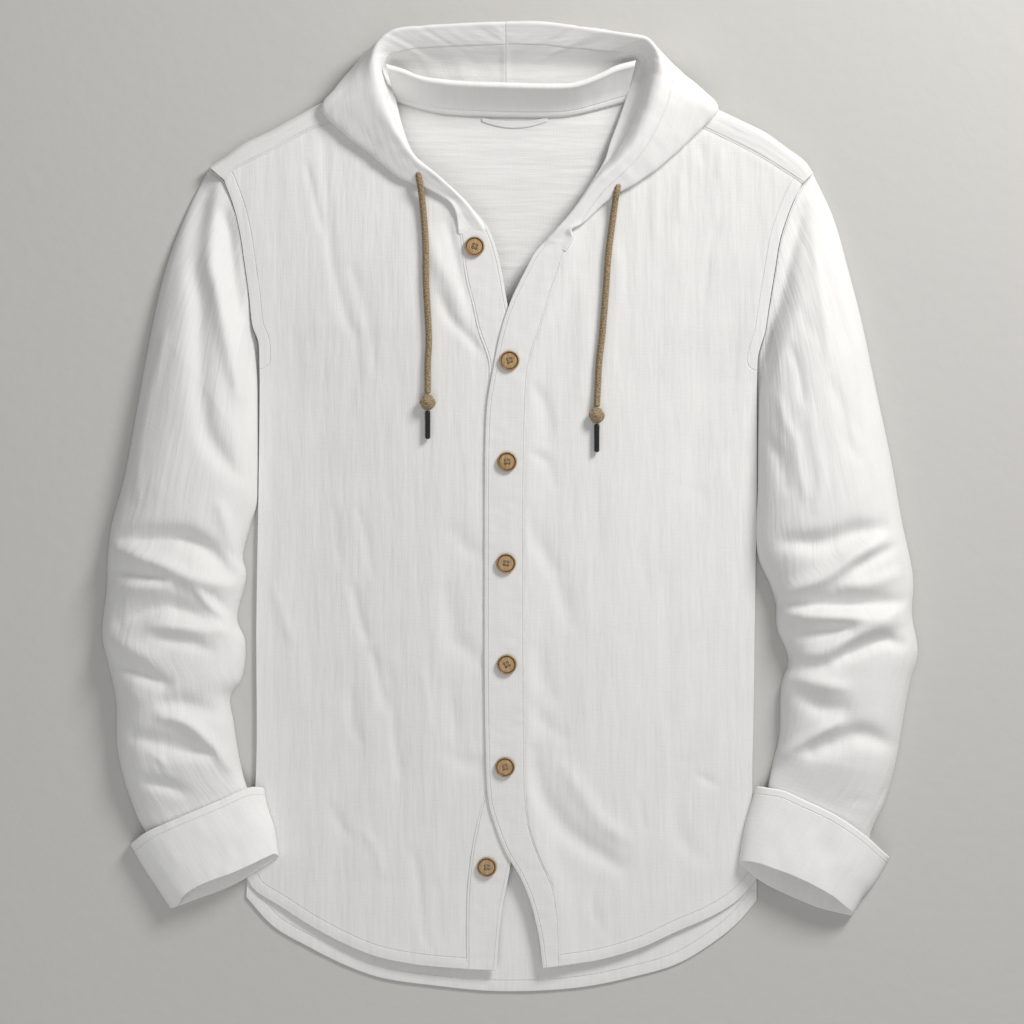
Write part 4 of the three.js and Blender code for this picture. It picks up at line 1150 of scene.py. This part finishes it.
# Hood
def make_hood(start, rows, name, seed, stitched):
    rows = np.vstack([start, rows])
    # The halves meet at the centre seam
    rows[-1, [0, 2, 4]] = -4 + 0.03 * np.sign(rows[-1, 0] + 4)
    count = len(rows)
    steps = np.linspace(0, count - 1, 15 * (count - 1) + 1)
    i = np.minimum(steps.astype(int), count - 2)
    f = (steps - i)[:, None]
    at = lambda k: rows[np.clip(k, 0, count - 1)]
    p, q, r, s = at(i - 1), at(i), at(i + 1), at(i + 2)
    values = q + 0.5 * f * (r - p + f * (2 * p - 5 * q + 4 * r - s + f * (3 * (q - r) + s - p)))
    grid = []
    for n, (rx, ry, nx, ny, ox, oy, rim_z, neck_z, rest) in enumerate(values):
        width = math.hypot(ox - rx, oy - ry)
        tuck = min(max(0.65 * width, 4), 22) / width
        low = rest * float(front_top(ox, oy)) + LAY + 1.0
        drop = rim_z - low
        neck, rim, out = np.array([nx, ny]), np.array([rx, ry]), np.array([ox, oy])
        inside = lambda k, z: [*mix(neck, rim, k), z]
        outside = lambda k, z: [*mix(rim, out, k), z]
        section = rail([
            inside(0, neck_z), inside(0.35, mix(neck_z, rim_z, 0.14)),
            inside(0.64, mix(neck_z, rim_z, 0.62)), inside(0.9, rim_z - 2),
            outside(0.06, rim_z), outside(0.3, rim_z - 0.16 * drop),
            outside(0.65, rim_z - 0.42 * drop), outside(1, low + max(2, 0.25 * drop)),
            outside(1 - 0.25 * tuck, low + 0.4), outside(1 - tuck, low)], 6)
        grid.append(section(np.linspace(0, 1, 90)))
    grid = np.array(grid)
    n = normals(grid, len(grid) // 4, 45)
    length = np.concatenate([np.zeros((grid.shape[0], 1)), np.cumsum(
        np.linalg.norm(np.diff(grid, axis=1), axis=2), 1)], 1)
    along = np.concatenate([np.zeros((1, 90)), np.cumsum(
        np.linalg.norm(np.diff(grid, axis=0), axis=2), 0)], 0)
    rim_column = np.argmax(grid[..., 2], axis=1)
    rim_at = length[np.arange(len(length)), rim_column]
    window = np.ones(21) / 21
    rim_at = np.convolve(np.pad(rim_at, 10, mode="edge"), window, "valid")[:, None]
    from_rim = length - rim_at
    body = smooth(np.minimum(length, length[:, -1:] - length) / 8)
    end = smooth(along / 6) * smooth((along[-1:] - along) / 6)
    wave = (0.5 * value_noise(along / 17, length / 26, seed)
            + 0.3 * value_noise(along / 7, length / 18, seed + 2))
    pucker = 0.14 * value_noise(along / 5, length / 60, seed + 4) * np.exp(
        -((from_rim + CHANNEL / 2) / 8) ** 2)
    pucker = pucker + 0.5 * smooth((from_rim + CHANNEL) / 1.4) - 0.25
    grid = grid + n * ((wave + pucker) * body * end)[..., None]
    top, bottom = grid + n * SHELL * 0.7, grid - n * SHELL * 0.7
    for side in (top, bottom):
        side[..., 2] = np.maximum(side[..., 2], 0.05)
    uv = np.dstack([length + 3000, along + 200])
    far = np.full(length.shape, FAR)
    lines = np.dstack([from_rim + CHANNEL, from_rim - HOOD_STITCH if stitched else far, far])
    return shell(name, top, bottom, uv, lines)


def make_neckband():
    seam, fold = rail(NECK_SEAM), rail(NECK_FOLD)
    t = spaced(215, 2.4)
    a, b = seam(t), fold(t)
    # The ends run on a little, in behind the hood's sides
    b[:, 0] += 4.0 * (smooth((t - 0.86) / 0.14) - smooth((0.14 - t) / 0.14))
    heights = rail([[0, 2.6], [0.3, 7.2], [0.65, 16.8], [0.88, 24.5], [0.97, 27.4], [1.02, 27.3],
                    [1.05, 25.5], [1.06, 23]])
    profile = heights(np.linspace(0, 1, 26))
    grid = np.stack([np.column_stack([mix(a, b, k), np.full(len(t), z)]) for k, z in profile], 1)
    x, y = grid[..., 0], grid[..., 1]
    grid[..., 2] += 0.35 * value_noise(x / 16, y / 30, 61) + 0.2 * value_noise(x / 6, y / 20, 62)
    n = normals(grid, len(t) // 2, 8)
    length = np.broadcast_to(np.arange(26)[None] * 1.5, x.shape)
    uv = np.dstack([x + 500, length + 4000])
    far = np.full(x.shape, FAR)
    lines = np.dstack([length - 3.2, far, far])
    return shell("neckband_cloth", grid + n * BAND * 0.45, grid - n * BAND * 0.45, uv, lines)


def make_loop():
    steps = np.linspace(0, 1, 40)
    bow = np.sin(math.pi * steps)
    grid = np.stack([np.column_stack([
        -25 + 58 * steps, 343.5 - 3.5 * bow ** 0.8 - across * (0.55 + 0.45 * bow),
        CLOTH + SEAM + 0.2 + 0.7 * bow - 0.02 * across * across * bow])
        for across in np.linspace(0, 6, 8)], 1)
    up = np.array([0, 0, 0.35])
    uv = np.dstack([grid[..., 0] + 500, grid[..., 1] + 4200])
    return shell("loop_cloth", grid + up, grid - up, uv)


# Buttons: turned wood with a dished face, four holes and crossed thread
def wood_material():
    material, nodes, links, shader = new_material("wood_button", (0.42, 0.24, 0.10), 0.42)
    coordinates = nodes.new("ShaderNodeTexCoord")
    noise = noise_texture(nodes, links, 1.0, 4.0, mapped(
        nodes, links, coordinates.outputs["Object"], (900, 160, 400)))
    colors = two_colors(nodes, links, noise, 0.3, (0.33, 0.19, 0.075),
                        0.75, (0.60, 0.40, 0.20))
    # The first stored value is painted shade: how far the groove under the rim and the side are
    # darkened
    blend = nodes.new("ShaderNodeMix")
    blend.data_type = "RGBA"
    links.new(stored_lines(nodes, links)["X"], blend.inputs["Factor"])
    links.new(colors, blend.inputs["A"])
    blend.inputs["B"].default_value = (0.035, 0.014, 0.006, 1)
    links.new(blend.outputs["Result"], shader.inputs["Base Color"])
    links.new(bump(nodes, links, noise, 0.0001), shader.inputs["Normal"])
    return material


WOOD = wood_material()
THREAD, *_ = new_material("thread", (0.42, 0.33, 0.20), 0.8)
HOLE_OUT = 2.1
HOLE_RADIUS = 1.2


def button_parts():
    """One button about the origin: the turned disc, with painted shade in its groove under the rim
    and on its side.
    """
    r, h = BUTTON_RADIUS, BUTTON_HEIGHT
    # radius, height, painted shade
    profile = np.array([
        [0, 0, 0], [r - 1.6, 0, 0], [r - 0.7, 0.3, 0], [r - 0.1, 1.0, 0.3], [r, 1.7, 0.5],
        [r - 0.1, h - 0.8, 0.45], [r - 0.35, h - 0.25, 0.05], [r - 0.7, h, 0],
        [r - 1.0, h - 0.05, 0.1], [r - 1.25, h - 0.45, 0.95], [r - 1.6, h - 0.95, 1],
        [r - 2.0, h - 1.0, 0.5], [r - 2.7, h - 0.85, 0], [3.4, h - 0.9, 0], [1.2, h - 1.0, 0],
        [0, h - 1.0, 0]])
    sides = 56
    turn = np.arange(sides) / sides * 2 * math.pi
    ring = profile[1:-1]
    points = np.stack([ring[:, :1] * np.cos(turn), ring[:, :1] * np.sin(turn),
                       np.broadcast_to(ring[:, 1:2], (len(ring), sides))], -1).reshape(-1, 3)
    painted_shade = np.repeat(ring[:, 2], sides)
    points = np.vstack([points, [[0, 0, 0]], [[0, 0, h - 1.0]]])
    painted_shade = np.concatenate([painted_shade, [0, 0]])
    faces = capped_faces(len(ring), sides)
    lines = np.column_stack([painted_shade, 0 * painted_shade, 0 * painted_shade])
    disc = face_out(make("button_form", points, faces, points[:, :2], lines))
    for angle in (45, 135, 225, 315):
        x = math.cos(math.radians(angle)) * HOLE_OUT * MM
        y = math.sin(math.radians(angle)) * HOLE_OUT * MM
        bm = bmesh.new()
        bmesh.ops.create_cone(bm, cap_ends=True, segments=20, radius1=HOLE_RADIUS * MM,
                              radius2=HOLE_RADIUS * MM, depth=4 * h * MM)
        drill_mesh = bpy.data.meshes.new("drill")
        bm.to_mesh(drill_mesh)
        bm.free()
        drill = add_object("drill", drill_mesh)
        drill.location = (x, y, 0)
        cut = disc.modifiers.new("hole", "BOOLEAN")
        cut.operation = "DIFFERENCE"
        cut.solver = "EXACT"
        cut.object = drill
        bpy.context.view_layer.update()
        depsgraph = bpy.context.evaluated_depsgraph_get()
        mesh = bpy.data.meshes.new_from_object(disc.evaluated_get(depsgraph))
        disc.modifiers.clear()
        disc.data = mesh
        bpy.data.objects.remove(drill)
    disc.data.polygons.foreach_set("use_smooth", [True] * len(disc.data.polygons))
    return disc


def thread_part():
    """Two crossed stitches of doubled thread through the four holes."""
    h = BUTTON_HEIGHT - 1.0
    pieces = []
    for angle in (45, 135):
        for shift in (-0.24, 0.24):
            a = math.radians(angle)
            direction = np.array([math.cos(a), math.sin(a), 0])
            side = np.array([-math.sin(a), math.cos(a), 0]) * shift
            k = np.linspace(-1, 1, 24)
            rise = 0.45 + (0.35 if angle == 135 else 0) * (1 - k ** 2)
            z = h + rise - 1.4 * smooth((np.abs(k) - 0.78) / 0.22)
            path = k[:, None] * direction * (HOLE_OUT + 0.2) + side
            path[:, 2] = z
            obj, _ = tube_mesh("thread", path, 0.22, lambda run, turn: 0.08 * np.cos(
                2 * turn + run * 5), 8)
            pieces.append(obj)
    return join(pieces)


def make_buttons():
    form, cross = button_parts(), thread_part()
    for i, (x, y, outer) in enumerate(BUTTONS):
        step = 4
        dx = float(lift(x + step, y) - lift(x - step, y)) / (2 * step)
        dy = float(lift(x, y + step) - lift(x, y - step)) / (2 * step)
        up = Vector((-dx, -dy, 1)).normalized()
        turn = Vector((0, 0, 1)).rotation_difference(up).to_matrix().to_4x4()
        rest = float(under(x, y)) + BAND + (BAND_STEP if outer else 0) + LAY
        spin = Matrix.Rotation(math.radians((37 * i) % 50 - 20), 4, "Z")
        place = Matrix.Translation(Vector((x, y, rest)) * MM) @ turn @ spin
        for source, name, material, slot in (
                (form, f"button_wood_{i + 1}", WOOD, "wood_button"),
                (cross, f"button_thread_{i + 1}", THREAD, "cord")):
            mesh = source.data.copy()
            mesh.transform(place)
            obj = add_object(name, mesh)
            if source is form:
                dress(obj, material, slot, f"button_{i + 1}")
            else:
                dress(obj, material, slot)
    for source in (form, cross):
        bpy.data.objects.remove(source)


# The shirt's pieces
def lay(piece, node, material):
    """A panel given its cloth and hung on the shirt's root, with the model's part it stands for
    hidden."""
    dress(piece, MATERIALS[material], "cloth", node)


lay(make_back(), "back", "cloth")
lay(make_yoke(), "yoke", "crosswise")
lay(make_front(RIGHT, "front_right_cloth"), "front_right", "cloth")
lay(make_front(LEFT, "front_left_cloth"), "front_left", "cloth")
lay(make_band(RIGHT, INNER_BAND_EDGE, INNER_SHARE, 0, "button_band_cloth"),
    "button_band", "band")
lay(make_band(LEFT, OUTER_BAND_EDGE, OUTER_SHARE, BAND_STEP, "buttonhole_band_cloth"),
    "buttonhole_band", "band")
lay(make_sleeve(RIGHT, FOLDS_RIGHT, "sleeve_right_cloth", 41), "sleeve_right", "cloth")
lay(make_sleeve(LEFT, FOLDS_LEFT, "sleeve_left_cloth", 51), "sleeve_left", "cloth")
lay(make_cuff(RIGHT, "cuff_right_cloth", 71), "cuff_right", "turned")
lay(make_cuff(LEFT, "cuff_left_cloth", 81), "cuff_left", "turned")
lay(make_hood(HOOD_RIGHT_START, HOOD_RIGHT, "hood_right_cloth", 91, False), "hood_right",
    "hood")
lay(make_hood(HOOD_LEFT_START, HOOD_LEFT, "hood_left_cloth", 97, True), "hood_left",
    "hood")
# The loop is a 58 by 6 mm tape sewn under the neckband, and goes with it
loop = dress(make_loop(), MATERIALS["crosswise"], "cloth", "hanger_loop")
lay(make_neckband(), "neckband", "turned")
make_buttons()

# Floor and light
floor_material = grained_material("floor", (0.575, 0.567, 0.544), 0.9, 420, 3, 0.0004)
half = 3.0
floor_mesh = bpy.data.meshes.new("floor")
floor_mesh.from_pydata([(-half, -half, 0), (half, -half, 0), (half, half, 0), (-half, half, 0)],
                       [], [(0, 1, 2, 3)])
floor_mesh.materials.append(floor_material)
floor = add_object("floor", floor_mesh)
floor.location = (0, 0, -FLOOR_DROP)


def area_light(name, place, target, size, power, color=(1, 1, 1)):
    data = bpy.data.lights.new(name, "AREA")
    data.shape = "DISK"
    data.size = size
    data.energy = power
    data.color = color
    light = add_object(name, data)
    light.location = place
    light.rotation_euler = (Vector(target) - Vector(place)).to_track_quat("-Z", "Y").to_euler()


area_light("key", (1.12, 1.4, 1.15), (0, 0, 0), 0.7, 35, (1, 0.99, 0.975))
area_light("fill", (-0.4, -1.0, 2.1), (0, 0.1, 0), 2.2, 14, (0.99, 0.993, 1))
world = bpy.data.worlds.new("world")
world.use_nodes = True
world.node_tree.nodes["Background"].inputs[0].default_value = (1, 1, 1, 1)
world.node_tree.nodes["Background"].inputs[1].default_value = 0.27
bpy.context.scene.world = world
bpy.context.scene.view_settings.view_transform = "Standard"
